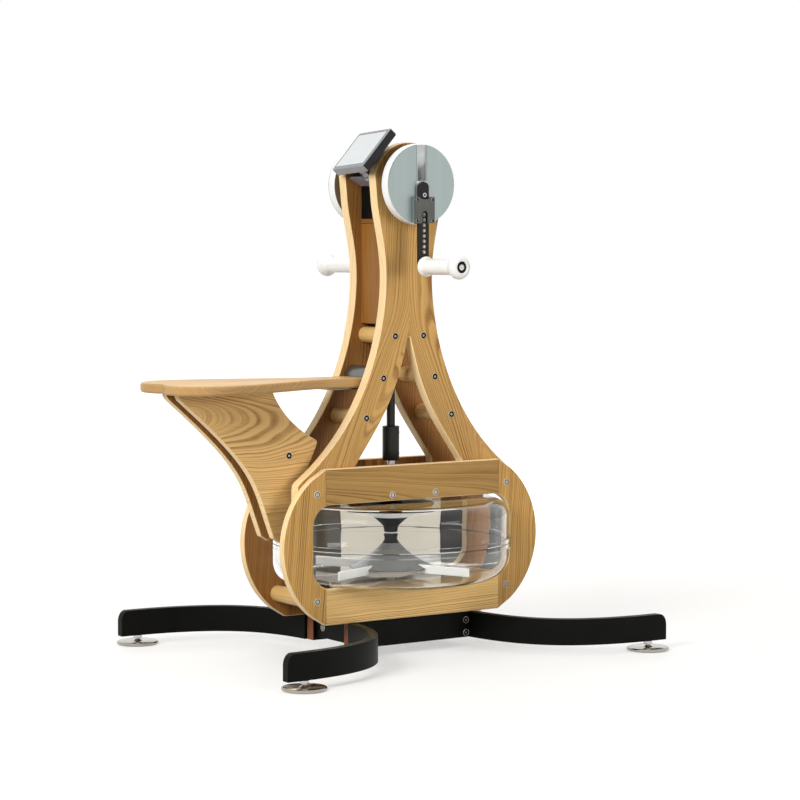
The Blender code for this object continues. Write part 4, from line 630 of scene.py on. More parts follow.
def screwShape(size):
    profile = [
        (size["ring"], -0.0006),
        (size["ring"], 0.0004),
        (size["ring"] - 0.0005, size["height"]),
        (size["cup"], size["height"] * 0.85),
        (size["cup"] - 0.0003, 0.00015),
        (size["head"] + 0.0002, 0.00010),
        (size["head"], size["height"] * 0.7),
        (size["socket"] + 0.0003, size["height"] * 0.85),
        (size["socket"], size["height"] * 0.8),
        (size["socket"] * 0.95, 0.0),
        (0.0, 0.0),
    ]
    bm = turnedShape(profile, 0.0, 24)
    for face in bm.faces:
        reach = Vector(face.calc_center_median().xy).length
        # faces of the cup and of the socket take the black: painted shade in the recesses
        if reach > size["cup"]:
            face.material_index = 2
        elif size["head"] < reach or reach < size["socket"]:
            face.material_index = 1
    return bm


def screwSet(name, body, places, size=cupScrew):
    bm = addCopies(bmesh.new(), screwShape(size), places)
    return finishPiece(bm, name, body, ["screwHead", "recessShadeBlack", "cupRing"], crisp=50.0)


# base

base = {
    "legLine": ((0.154, 0.0843), (0.16985, 0.2517), (0.2491, 0.338), (0.471, 0.338)),
    "legThickness": 0.020,
    "low": 0.020,
    "height": 0.055,
    "endRounding": 0.024,
    "edge": 0.0015,
    "railHalfLength": 0.158,
    "railOuterY": 0.084,
    "railThickness": 0.024,
    "blockLength": 0.040,
    "blockHeight": 0.044,
    "blockX": 0.130,
    "blockEnd": 0.150,
    "blockScrew": (0.034, 0.050),
    "screwX": 0.1365,
    "screwHeights": (0.057, 0.030),
}
foot = {"x": 0.428, "y": 0.338, "radius": 0.045, "pad": 0.003, "top": 0.0075, "stud": 0.005, "studTop": 0.0437, "nut": 0.0095}


def legShape(xSide, ySide):
    # the bent board in plan, drawn up to its height, with the far top corner rounded
    line = [Vector(point) for point in bowLine(base["legLine"], 40)]
    half = base["legThickness"] / 2
    near, far = [], []
    for n, point in enumerate(line):
        along = (line[min(n + 1, len(line) - 1)] - line[max(n - 1, 0)]).normalized()
        if n == 0:
            along = Vector((0.0, 1.0))
        across = Vector((-along.y, along.x)) * half
        near.append(point + across)
        far.append(point - across)
    bm = bmesh.new()
    floorFace = bm.faces.new([bm.verts.new((p.x, p.y, base["low"])) for p in near + far[::-1]])
    raised = bmesh.ops.extrude_face_region(bm, geom=[floorFace])["geom"]
    bmesh.ops.translate(bm, vec=(0.0, 0.0, base["height"]), verts=[v for v in raised if isinstance(v, bmesh.types.BMVert)])
    top = base["low"] + base["height"]
    corner = [e for e in bm.edges if all(abs(v.co.z - top) < 1e-5 and v.co.x > 0.4705 for v in e.verts)]
    bmesh.ops.bevel(bm, geom=corner, offset=base["endRounding"], segments=16, profile=0.5, affect="EDGES", material=-1)
    bmesh.ops.scale(bm, vec=(xSide, ySide, 1.0), verts=bm.verts)
    return bm


def buildBase():
    middle = base["low"] + base["height"] / 2
    for name, side in sides:
        centre = (0.0, side * (base["railOuterY"] - base["railThickness"] / 2), middle)
        bm = boxShape((2 * base["railHalfLength"], base["railThickness"], base["height"]), centre)
        if side > 0:
            depth = 2 * (base["railOuterY"] - base["railThickness"]) - 0.0006
            for end in (-1, 1):
                block = boxShape((base["blockLength"], depth, base["blockHeight"]))
                addCopies(bm, block, [Matrix.Translation((end * base["blockX"], 0.0, 0.050))])
        finishPiece(bm, "baseRail_" + name, "frame", "blackRails", ["base_rail_" + name], edge=base["edge"])
        screwSet(
            "railScrews_" + name,
            "frame",
            [faceOut(end * base["screwX"], side * base["railOuterY"], z, side) for end in (-1, 1) for z in base["screwHeights"]],
        )
    screwSet("blockScrews", "frame", [Matrix.Translation((end * base["blockEnd"], base["blockScrew"][0], base["blockScrew"][1])) @ Matrix.Rotation(end * math.pi / 2, 4, "Y") for end in (-1, 1)], capScrew)
    for yName, ySide in sides:
        for xName, xSide in ends:
            name = yName + "_" + xName
            finishPiece(legShape(xSide, ySide), "leg_" + name + "_wood", "frame", "blackLegs", ["leg_" + name], edge=base["edge"])
            place = Matrix.Translation((xSide * foot["x"], ySide * foot["y"], 0.0))
            nut = bmesh.new()
            bmesh.ops.create_cone(nut, cap_ends=True, segments=6, radius1=foot["nut"], radius2=foot["nut"], depth=0.006)
            bmesh.ops.translate(nut, vec=(0.0, 0.0, 0.017), verts=nut.verts)
            finishPiece(nut, "footNut_" + name, "frame", "brightSteel", edge=0.0006, edgeSteps=2, place=place)
            profile = [
                (0.0, foot["studTop"]),
                (foot["stud"], foot["studTop"]),
                (foot["stud"], foot["top"] + 0.0035),
                (foot["stud"] * 2.2, foot["top"]),
                (foot["radius"] - 0.002, foot["top"]),
                (foot["radius"], foot["top"] - 0.002),
                (foot["radius"], foot["pad"]),
                (foot["radius"] - 0.003, 0.0),
                (0.0, 0.0),
            ]
            finishPiece(turnedShape(profile, 0.0006, 72), "footDisc_" + name, "foot_" + name, "chromeFoot", ["foot_" + name], place=place)
    print("stage: base built")


buildBase()

# tank frames

tankFrame = {
    "middle": 0.23655,
    "halfHeight": 0.16125,
    "straightX": 0.219,
    "endCentreX": 0.1425,
    "endRadius": 0.1785,
    "endReach": 52.65,
    "windowHalf": (0.249, 0.087),
    "windowCorner": 0.045,
    "thickness": 0.018,
    "outerY": 0.088,
    "edge": 0.003,
    "screws": ((0.240, 0.1104), (0.240, -0.1104), (0.0545, 0.0993)),
    "dowelRadius": 0.017,
    "dowelY": 0.0697,
}


def frameShape():
    size = tankFrame
    right = [(size["straightX"], -size["halfHeight"])]
    right += arcLine((size["endCentreX"], 0.0), size["endRadius"], -size["endReach"], size["endReach"], 48)
    right += [(size["straightX"], size["halfHeight"])]
    outline = right + [(-x, -z) for x, z in right]
    halfX, halfZ = size["windowHalf"]
    corner = size["windowCorner"]
    window = []
    for start, sx, sz in ((-90, 1, -1), (0, 1, 1), (90, -1, 1), (180, -1, -1)):
        window += arcLine((sx * (halfX - corner), sz * (halfZ - corner)), corner, start, start + 90, 14)
    return flatPlate(outline, size["thickness"], size["edge"], [window])


def buildTankFrames():
    size = tankFrame
    for name, side in sides:
        bm = standUp(frameShape(), size["outerY"] - size["thickness"] / 2, side)
        bmesh.ops.translate(bm, vec=(0.0, 0.0, size["middle"]), verts=bm.verts)
        finishPiece(markEdges(bm, side), "tankFrame_" + name, "frame", ["ashFrame", "ashLitEdge", "ashShadedInner"], ["tank_frame_" + name], weighted=True)
        places = [faceOut(end * x, side * size["outerY"], size["middle"] + z, side) for x, z in size["screws"] for end in (-1, 1)]
        screwSet("tankFrameScrews_" + name, "frame", places, capScrew)
    for name, end in ends:
        dowel = alongY(turnedShape([(0.0, 0.0697), (0.017, 0.0697), (0.017, -0.0697), (0.0, -0.0697)], 0.0004, 48))
        place = Matrix.Translation((end * 0.240, 0.0, size["middle"] - 0.1104))
        finishPiece(dowel, "frameDowel_" + name, "frame", "ashDowel", ["tank_frame_dowel_" + name], place=place)
    print("stage: tank frames built")


buildTankFrames()

# tower

tower = {
    "outerY": 0.0697,
    "thickness": 0.0255,
    "edge": 0.0025,
    "head": ((0.0, 0.981), 0.088),
    "shoulder": ((0.0825, 0.965), (0.080, 0.909), (0.0585, 0.862), (0.0585, 0.789)),
    "flare": ((0.0585, 0.789), (0.0585, 0.685), (0.098, 0.492), (0.268, 0.3725)),
    "toe": ((0.275, 0.3645), (0.2765, 0.3505), (0.2765, 0.327), (0.1365, 0.327)),
    "fork": ((0.1365, 0.3958), (0.0696, 0.4932), (0.0374, 0.5218), (0.0025, 0.663)),
    "bearingHole": 0.0181,
    "screws": ((0.0358, 0.6658), (0.0652, 0.5785), (0.1077, 0.4972)),
    "dowelRadius": 0.017,
    "dowelHalf": 0.0439,
}


def towerShape():
    half = arcLine(*tower["head"], 90, 12, 24)
    half += bowLine(tower["shoulder"], 20)
    half += bowLine(tower["flare"], 44)[1:]
    half += list(tower["toe"])
    half += bowLine(tower["fork"], 30)
    outline = half + [(-x, z) for x, z in reversed(half) if x > 1e-7]
    hole = arcLine((0.0, 0.981), tower["bearingHole"], 0, 350, 35)
    return flatPlate(outline, tower["thickness"], tower["edge"], [hole])


def buildTower():
    for name, side in sides:
        bm = standUp(towerShape(), tower["outerY"] - tower["thickness"] / 2, side)
        finishPiece(markEdges(bm, side), "towerPlate_" + name, "frame", ["ashTower", "ashLitEdge", "ashShadedInner"], ["tower_plate_" + name], weighted=True)
        places = [faceOut(end * x, side * tower["outerY"], z, side) for x, z in tower["screws"] for end in (-1, 1)]
        screwSet("towerScrews_" + name, "frame", places)
    half = tower["dowelHalf"]
    dowels = {"upper_left": (-1, 0), "upper_right": (1, 0), "middle_right": (1, 1), "lower_left": (-1, 2), "lower_right": (1, 2)}
    radius = tower["dowelRadius"]
    for name, (end, level) in dowels.items():
        x, z = tower["screws"][level]
        dowel = alongY(turnedShape([(0.0, half), (radius, half), (radius, -half), (0.0, -half)], 0.0004, 48))
        finishPiece(dowel, "towerDowel_" + name, "frame", "ashDowel", ["tower_dowel_" + name], place=Matrix.Translation((end * x, 0.0, z)))
    for name, end in ends:
        dowel = alongY(turnedShape([(0.0, half), (radius, half), (radius, -half), (0.0, -half)], 0.0004, 48))
        finishPiece(dowel, "toeDowel_" + name, "frame", "ashDowel", place=Matrix.Translation((end * 0.240, 0.0, 0.34695)))
        panel = boxShape((0.012, 2 * half, 0.210), (end * 0.040, 0.0, 0.795))
        finishPiece(panel, "towerPanel_" + name, "frame", "ashPanel", ["tower_panel_" + name], edge=0.0012)
    shelf = boxShape((0.092, 2 * half, 0.010), (0.0, 0.0, 0.9053))
    finishPiece(shelf, "gearShelf", "frame", "ashBlock", ["gear_shelf"], edge=0.0012)
    print("stage: tower built")


buildTower()

# tank

tank = {
    "radius": 0.250,
    "wall": 0.004,
    "low": 0.14985,
    "high": 0.31895,
    "lowRounding": 0.050,
    "highRounding": 0.034,
    "flangeRadius": 0.255,
    "flangeLow": 0.21898,
    "flangeRim": 0.009,
    "gasket": 0.001,
    "hole": 0.0246,
    "steps": 128,
}


def lowerTankShape():
    size = tank
    inner = size["radius"] - size["wall"]
    centre = (size["radius"] - size["lowRounding"], size["low"] + size["lowRounding"])
    rim = size["flangeLow"] + size["flangeRim"]
    profile = [(0.0, size["low"] + size["wall"])]
    profile += arcLine(centre, size["lowRounding"] - size["wall"], -90, 0, 12)
    profile += [(inner, rim), (size["flangeRadius"], rim), (size["flangeRadius"], size["flangeLow"]), (size["radius"], size["flangeLow"])]
    profile += arcLine(centre, size["lowRounding"], 0, -90, 12)
    return turnedShape(profile + [(0.0, size["low"])], 0.0, size["steps"])


def upperTankShape():
    size = tank
    inner = size["radius"] - size["wall"]
    centre = (size["radius"] - size["highRounding"], size["high"] - size["highRounding"])
    bottom = size["flangeLow"] + size["flangeRim"] + size["gasket"] + 0.0006
    rim = bottom + size["flangeRim"]
    profile = [(size["hole"], size["high"])]
    profile += arcLine(centre, size["highRounding"], 90, 0, 12)
    profile += [(size["radius"], rim), (size["flangeRadius"], rim), (size["flangeRadius"], bottom), (inner, bottom)]
    profile += arcLine(centre, size["highRounding"] - size["wall"], 0, 90, 12)
    return turnedShape(profile + [(size["hole"], size["high"] - size["wall"])], 0.0, size["steps"], ring=True)


def buildTank():
    size = tank
    finishPiece(lowerTankShape(), "tankLower", "frame", "clearTank", ["tank_lower"], crisp=40.0)
    finishPiece(upperTankShape(), "tankUpper", "frame", "clearTank", ["tank_upper"], crisp=40.0)
    low = size["flangeLow"] + size["flangeRim"] + 0.0003
    outer, inner = size["flangeRadius"], size["flangeRadius"] - 0.008
    seal = [(outer, low + size["gasket"]), (outer, low), (inner, low), (inner, low + size["gasket"])]
    finishPiece(turnedShape(seal, 0.0, size["steps"], ring=True), "tankSeal", "frame", "sealRubber", ["tank_gasket"])
    print("stage: tank built")


buildTank()

# bearing block and housing, impeller, shafts and coupling

drive = {
    "block": ((0.170, 0.1394, 0.022), (0.0, 0.0, 0.33795)),
    "bore": 0.00935,
    "housing": (
        (0.00935, 0.35495),
        (0.034, 0.35495),
        (0.034, 0.34925),
        (0.024, 0.34925),
        (0.024, 0.30695),
        (0.092, 0.30695),
        (0.092, 0.30095),
        (0.057, 0.29795),
        (0.0375, 0.283),
        (0.0234, 0.268),
        (0.0157, 0.259),
        (0.014, 0.247),
        (0.00935, 0.247),
    ),
    "coneJoint": 0.036,
    "coneTop": 0.3015,
    "shaftRadius": 0.009,
    "shaft": (0.43875, 0.9575),
    "lowerShaft": (0.161, 0.4347),
    "coupling": (0.018, 0.400, 0.4725),
}
impeller = {
    "skirt": (
        (0.00935, 0.2435),
        (0.0150, 0.2435),
        (0.0155, 0.2395),
        (0.0135, 0.2375),
        (0.0135, 0.2315),
        (0.0170, 0.2255),
        (0.0270, 0.2145),
        (0.0480, 0.1965),
        (0.0702, 0.1825),
        (0.0900, 0.1735),
        (0.0870, 0.1715),
        (0.0300, 0.1630),
        (0.00935, 0.1630),
    ),
    "blades": 4,
    "bladeTurn": 22.5,
    "reach": 0.195,
    "bladeRoot": 0.020,
    "bladeHeight": 0.019,
    "blackAbove": 0.2225,
    "bladeThickness": 0.005,
    "bladeLow": 0.163,
}


def rodShape(radius, low, high, soften=0.0006, steps=48):
    return turnedShape([(0.0, high), (radius, high), (radius, low), (0.0, low)], soften, steps)


def buildDrive():
    size, centre = drive["block"]
    finishPiece(boxShape(size, centre), "bearingBlock", "frame", "ashBlock", ["bearing_block"], edge=0.0015)
    housing = turnedShape(drive["housing"], 0.0012, 72, ring=True)
    for face in housing.faces:
        spot = face.calc_center_median()
        if Vector(spot.xy).length > drive["coneJoint"] and spot.z < drive["coneTop"]:
            face.material_index = 1
    finishPiece(housing, "bearingHousing", "frame", ["blackMoulding", "paleMoulding"], ["bearing_housing"])
    finishPiece(rodShape(drive["shaftRadius"], *drive["shaft"]), "driveShaft", "shaft", "blackMetal", ["drive_shaft"])
    finishPiece(rodShape(drive["shaftRadius"], *drive["lowerShaft"]), "impellerShaft", "shaft", "brightSteel", ["impeller_shaft"])
    radius, low, high = drive["coupling"]
    sleeve = turnedShape([(0.0095, high), (radius, high), (radius, low), (0.0095, low)], 0.0012, 64, ring=True)
    finishPiece(sleeve, "shaftCoupling", "shaft", "blackMetal", ["shaft_coupling"])
    middle = (low + high) / 2
    places = []
    for z in (middle - 0.022, middle + 0.022):
        for turn in (math.radians(-24.0), math.radians(156.0)):
            places.append(Matrix.Rotation(turn, 4, "Z") @ Matrix.Translation((radius - 0.0004, 0.0, z)) @ Matrix.Rotation(math.pi / 2, 4, "Y"))
    grub = turnedShape([(0.0032, -0.001), (0.0032, 0.0007), (0.0018, 0.0007), (0.0016, -0.0004), (0.0, -0.0004)], 0.0002, 24)
    finishPiece(addCopies(bmesh.new(), grub, places), "couplingScrews", "shaft", "brightSteel")
    skirt = turnedShape(impeller["skirt"], 0.0016, 96, ring=True)
    length = impeller["reach"] - impeller["bladeRoot"]
    blade = boxShape((length, impeller["bladeThickness"], impeller["bladeHeight"]))
    spots = []
    for n in range(impeller["blades"]):
        turn = Matrix.Rotation(math.radians(impeller["bladeTurn"] + 360.0 * n / impeller["blades"]), 4, "Z")
        spots.append(turn @ Matrix.Translation((impeller["bladeRoot"] + length / 2, 0.0, impeller["bladeLow"] + impeller["bladeHeight"] / 2)))
    for face in skirt.faces:
        if face.calc_center_median().z > impeller["blackAbove"]:
            face.material_index = 1
    finishPiece(skirt, "impellerSkirt", "shaft", ["slateMoulding", "blackMoulding"], ["impeller"])
    finishPiece(addCopies(bmesh.new(), blade, spots), "impellerBlades", "shaft", "paleMoulding", edge=0.0012)
    print("stage: drive built")


buildDrive()

# gear housing, bearings, crank and grips

crank = {
    "height": 0.981,
    "discRadius": 0.084,
    "discBack": 0.090,
    "plateBack": 0.1122,
    "face": 0.115,
    "plateRadius": 0.0825,
    "plateThickness": 0.0025,
    "guideWidth": 0.025,
    "channelThickness": 0.0012,
    "lipWidth": 0.0022,
    "lipHeight": 0.0018,
    "guideTop": 0.006,
    "barBack": 0.11565,
    "barThickness": 0.008,
    "gripDrop": 0.170,
    "holeRadius": 0.0031,
    "archHeight": 0.0100,
    "firstHole": 0.0624,
    "holePitch": 0.011,
    "holes": 8,
    "lockDrop": 0.022,
    "clampWidth": 0.0495,
    "clampTop": -0.026,
    "clampHeight": 0.0546,
    "clampBack": 0.1153,
    "clampFront": 0.1275,
    "clampSkin": 0.0035,
    "notchRadius": 0.0235,
    "notchDepth": 0.005,
    "portRadius": 0.0068,
    "portHeight": 0.0255,
    "screwInset": 0.0055,
}
clampScrew = {"ring": 0.0038, "cup": 0.0031, "head": 0.0026, "socket": 0.0012, "height": 0.0010}
grip = {"start": 0.128, "end": 0.261, "radius": 0.0165, "collar": 0.021, "knob": 0.025, "knobRound": 0.0118, "pin": 0.006, "cap": 0.0115}


def crankPlace(side):
    # parts are made along +z with the axle through the origin, y upwards
    turn = Matrix.Rotation(math.pi / 2, 4, "X")
    if side > 0:
        turn = Matrix.Rotation(math.pi, 4, "Z") @ turn
    return Matrix.Translation((0.0, 0.0, crank["height"])) @ turn


def lift(bm, z):
    bmesh.ops.translate(bm, vec=(0.0, 0.0, z), verts=bm.verts)
    return bm


def discShape():
    size = crank
    profile = [
        (0.0, size["plateBack"]),
        (size["discRadius"], size["plateBack"]),
        (size["discRadius"], size["discBack"]),
        (0.028, size["discBack"]),
        (0.022, size["discBack"] - 0.005),
        (0.022, 0.0757),
        (0.0, 0.0757),
    ]
    bm = turnedShape(profile, 0.0022, 128)
    for face in bm.faces:
        spot = face.calc_center_median()
        # the back of the disc takes the dull brown: painted shade for the shaded gap behind the disc
        if spot.z < size["discBack"] + 0.0004 and Vector(spot.xy).length > 0.021:
            face.material_index = 1
    guideLength = size["discRadius"] + size["guideTop"] - 0.004
    guide = boxShape((size["guideWidth"], guideLength, 0.006), (0.0, size["guideTop"] - guideLength / 2, size["face"] - 0.003))
    return addCopies(bm, guide, [Matrix.Identity(4)])


def channelShape():
    # the upper stretch of the slot holds a sunk strip with raised lips
    size = crank
    top, low = size["plateRadius"] - 0.0012, size["guideTop"] + 0.0010
    half = size["guideWidth"] / 2 - 0.0002
    strip = flatPlate([(half, low), (half, top), (-half, top), (-half, low)], size["channelThickness"], 0.0003, steps=2)
    lift(strip, size["face"] - size["plateThickness"] + size["channelThickness"] / 2)
    lip = boxShape((size["lipWidth"], top - low, size["lipHeight"]))
    middle = Vector(((half - size["lipWidth"] / 2), (top + low) / 2, size["face"] - size["lipHeight"] / 2 - 0.0002))
    spots = [Matrix.Translation((end * middle.x, middle.y, middle.z)) for end in (-1, 1)]
    return addCopies(strip, lip, spots)


def facePlateShape():
    size = crank
    half = size["guideWidth"] / 2 + 0.0004
    lean = math.degrees(math.asin(half / size["plateRadius"]))
    outline = arcLine((0.0, 0.0), size["plateRadius"], -90 + lean, 90 - lean, 60)
    place = size["face"] - size["plateThickness"] / 2
    plate = flatPlate(outline, size["plateThickness"], 0.0005, steps=2)
    other = flatPlate([(-x, y) for x, y in outline], size["plateThickness"], 0.0005, steps=2)
    return lift(addCopies(plate, other, [Matrix.Identity(4)]), place)


def clampShape():
    size = crank
    half = size["clampWidth"] / 2
    top, low = size["clampTop"], size["clampTop"] - size["clampHeight"]
    reach = math.degrees(math.acos(1.0 - size["notchDepth"] / size["notchRadius"]))
    outline = [(half, low), (half, top)]
    outline += arcLine((0.0, top + size["notchRadius"] - size["notchDepth"]), size["notchRadius"], -90 + reach, -90 - reach, 20)
    outline += [(-half, top), (-half, low), (-size["portRadius"], low)]
    outline += arcLine((0.0, low + size["portHeight"] - size["portRadius"]), size["portRadius"], 180, 0, 20)
    outline += [(size["portRadius"], low)]
    bm = lift(flatPlate(outline, size["clampSkin"], 0.0007), size["clampFront"] - size["clampSkin"] / 2)
    railWidth = half - size["guideWidth"] / 2 - 0.00035
    depth = size["clampFront"] - size["clampBack"] - size["clampSkin"] + 0.001
    rail = flatPlate([(-railWidth / 2, low), (railWidth / 2, low), (railWidth / 2, top), (-railWidth / 2, top)], depth, 0.0005)
    for face in rail.faces:
        face.material_index = 1
    centre = half - railWidth / 2
    return addCopies(bm, rail, [Matrix.Translation((end * centre, 0.0, size["clampBack"] + depth / 2)) for end in (-1, 1)])


def barShape():
    size = crank
    radius = size["guideWidth"] / 2
    top = size["guideTop"] - size["archHeight"]
    arch = bowLine(((radius, top), (radius * 0.96, top + size["archHeight"] * 0.45), (radius * 0.42, top + size["archHeight"] * 0.88), (0.0, size["guideTop"])), 14)
    outline = arch + [(-x, y) for x, y in reversed(arch[:-1])] + arcLine((0.0, -size["gripDrop"]), radius, 180, 360, 32)
    holes, drops = [], [-size["firstHole"] - n * size["holePitch"] for n in range(size["holes"])]
    for drop in drops:
        holes.append(arcLine((0.0, drop), size["holeRadius"], 0, 345, 23))
    bm = flatPlate(outline, size["barThickness"], 0.0006, holes)
    for face in bm.faces:
        spot = face.calc_center_median()
        # the walls of the holes take the pale moulding: painted light, the light seen through the holes
        if any(math.hypot(spot.x, spot.y - drop) < size["holeRadius"] + 0.0004 for drop in drops):
            face.material_index = 1
        elif abs(spot.x) > radius - 0.0002:
            face.material_index = 2
    return lift(bm, size["barBack"] + size["barThickness"] / 2)


def socketHead(radius, height):
    # a round head with a hex socket sunk into it
    bm = bmesh.new()
    bmesh.ops.create_cone(bm, cap_ends=True, segments=24, radius1=radius, radius2=radius * 0.94, depth=height)
    bmesh.ops.translate(bm, vec=(0.0, 0.0, height / 2 - 0.0008), verts=bm.verts)
    top = max(bm.faces, key=lambda face: face.calc_center_median().z)
    bmesh.ops.inset_region(bm, faces=[top], thickness=radius * 0.45, depth=0.0)
    bmesh.ops.inset_region(bm, faces=[top], thickness=radius * 0.04, depth=-height * 0.5)
    # the socket's floor takes the black: painted shade in the socket
    top.material_index = 1
    return bm


def gripShape():
    size = grip
    knobLow = size["end"] - 0.026
    floor = size["end"] - 0.00555
    profile = [
        (size["cap"] + 0.0006, size["end"] - 0.0006),
        *arcLine((size["knob"] - size["knobRound"], size["end"] - size["knobRound"]), size["knobRound"], 84, -54, 14),
        (size["radius"] + 0.0012, knobLow - 0.001),
        (size["radius"], knobLow - 0.007),
        (size["radius"], size["start"] + 0.014),
        (size["radius"] + 0.0015, size["start"] + 0.009),
        (size["collar"], size["start"] + 0.006),
        (size["collar"], size["start"] + 0.0015),
        (size["collar"] - 0.0015, size["start"]),
        (size["pin"] + 0.00055, size["start"]),
        (size["pin"] + 0.00055, floor),
        (size["cap"] + 0.0006, floor),
    ]
    return turnedShape(profile, 0.0014, 96, ring=True)


def buildCrank():
    size = crank
    housing = boxShape((0.0916, 0.0878, 0.112), (0.0, 0.0, 0.9666))
    finishPiece(housing, "gearHousing", "frame", "blackMoulding", ["gear_housing"], edge=0.002)
    for name, side in sides:
        ring = [(0.01035, 0.075), (0.026, 0.075), (0.026, 0.070), (0.0175, 0.070), (0.0175, 0.0462), (0.01035, 0.0462)]
        bearing = turnedShape(ring, 0.0006, 64, ring=True)
        finishPiece(bearing, "axleBearing_" + name, "frame", "brightSteel", ["axle_bearing_" + name], place=crankPlace(side))
        place = crankPlace(side)
        finishPiece(discShape(), "crankDisc_" + name, "crank", ["whiteDisc", "discBack"], ["crank_disc_" + name], place=place)
        finishPiece(facePlateShape(), "facePlate_" + name, "crank", "polishedFace", ["disc_face_" + name], place=place, weighted=True)
        finishPiece(channelShape(), "faceChannel_" + name, "crank", "stripMetal", place=place, edge=0.0003)
        finishPiece(clampShape(), "armClamp_" + name, "crank", ["darkPlate", "polishedFace"], ["arm_clamp_" + name], place=place, weighted=True)
        across = size["clampWidth"] / 2 - size["screwInset"]
        drops = (size["clampTop"] - size["screwInset"], size["clampTop"] - size["clampHeight"] + size["screwInset"])
        spots = [Matrix.Translation((end * across, y, size["clampFront"])) for end in (-1, 1) for y in drops]
        heads = addCopies(bmesh.new(), screwShape(clampScrew), spots)
        finishPiece(heads, "clampScrews_" + name, "crank", ["blackMetal", "recessShadeBlack", "brightSteel"], place=place, crisp=50.0)
        finishPiece(barShape(), "armBar_" + name, "arm_" + name, ["barPaint", "paleMoulding", "blackMetal"], ["arm_bar_" + name], place=place, weighted=True)
        lock = addCopies(bmesh.new(), socketHead(0.0048, 0.0033), [Matrix.Translation((0.0, -size["lockDrop"], size["barBack"] + size["barThickness"]))])
        finishPiece(lock, "lockScrew_" + name, "arm_" + name, ["brightSteel", "recessShadeBlack"], place=place)
        drop = place @ Matrix.Translation((0.0, -size["gripDrop"], 0.0))
        finishPiece(gripShape(), "gripHandle_" + name, "grip_" + name, "whiteGrip", ["grip_" + name], place=drop)
        capTop = grip["end"] - 0.0022
        pin = turnedShape(
            [
                (0.0, capTop - 0.0006),
                (0.0016, capTop - 0.0006),
                (0.0019, capTop),
                (0.0058, capTop),
                (0.0062, capTop - 0.0012),
                (grip["cap"], capTop - 0.0012),
                (grip["cap"], capTop - 0.003),
                (grip["pin"], capTop - 0.003),
                (grip["pin"], size["barBack"] + 0.001),
                (0.0, size["barBack"] + 0.001),
            ],
            0.0003,
            64,
        )
        # the cap's outer ring takes the same black that paints the screws' recess shade
        for face in pin.faces:
            reach = Vector(face.calc_center_median().xy).length
            if reach > 0.006 and face.calc_center_median().z > capTop - 0.0032:
                face.material_index = 1
        finishPiece(pin, "gripPin_" + name, "arm_" + name, ["brightSteel", "recessShadeBlack"], ["grip_pin_" + name], place=drop)
    print("stage: crank built")


buildCrank()

# seat

seat = {
    "top": 0.5795,
    "thickness": 0.020,
    "edge": 0.0055,
    "hinge": (-0.0652, 0.5785),
    "neck": 0.0415,
    "rootX": -0.0900,
    "curve": ((-0.180, 0.0415), (-0.26208, 0.0445), (-0.35632, 0.1272), (-0.484, 0.1272)),
    "lobe": ((-0.484, 0.0487), 0.0785),
    "notch": (-0.5495, 0.0),
    "bracketInner": 0.016,
    "bracketThickness": 0.018,
    "nose": ((-0.532, 0.5592), (-0.532, 0.5532), (-0.528, 0.5467)),
    "belly": ((-0.521, 0.5405), (-0.3404, 0.3887), (-0.3569, 0.3720), (-0.3115, 0.2560)),
    "tip": (-0.2935, 0.2455),
    "corner": (-0.2030, 0.4510),
    "throat": ((-0.20956, 0.45556), (-0.2573, 0.4800), (-0.2933, 0.5150), (-0.3127, 0.5592)),
    "screw": (-0.2745, 0.4248),
}


def boardShape():
    half = [(seat["rootX"], seat["neck"])]
    half += bowLine(seat["curve"], 32)
    half += arcLine(*seat["lobe"], 90, 205, 36)[1:]
    half += [(seat["notch"][0] - 0.0012, 0.006), (seat["notch"][0] - 0.0002, 0.002)]
    outline = half + [(x, -y) for x, y in reversed(half)]
    return lift(flatPlate(outline, seat["thickness"], seat["edge"], steps=5), seat["top"] - seat["thickness"] / 2)


def bracketShape(side):
    # the edge that leans on the tower has a round notch for the dowel
    centre, radius = Vector((-0.240, 0.34695)), 0.0176
    tip, corner = Vector(seat["tip"]), Vector(seat["corner"])
    along = (corner - tip).normalized()
    foot = tip + along * (centre - tip).dot(along)
    away = (centre - foot).length
    run = math.sqrt(max(radius**2 - away**2, 0.0))
    outline = list(seat["nose"]) + bowLine(seat["belly"], 36) + [seat["tip"]]
    if run > 0:
        first, last = foot - along * run - centre, foot + along * run - centre
        start, end = math.degrees(math.atan2(first.y, first.x)), math.degrees(math.atan2(last.y, last.x))
        if start < end:
            start += 360
        outline += arcLine(tuple(centre), radius, start, end, 12)
    before = corner - along * 0.008
    outline += bowLine((tuple(before), tuple(before + along * 0.005), (-0.2055, 0.4527), seat["throat"][0]), 8)
    outline += bowLine(seat["throat"], 30)[1:]
    bm = flatPlate(outline, seat["bracketThickness"], 0.003)
    return standUp(bm, seat["bracketInner"] + seat["bracketThickness"] / 2, side)


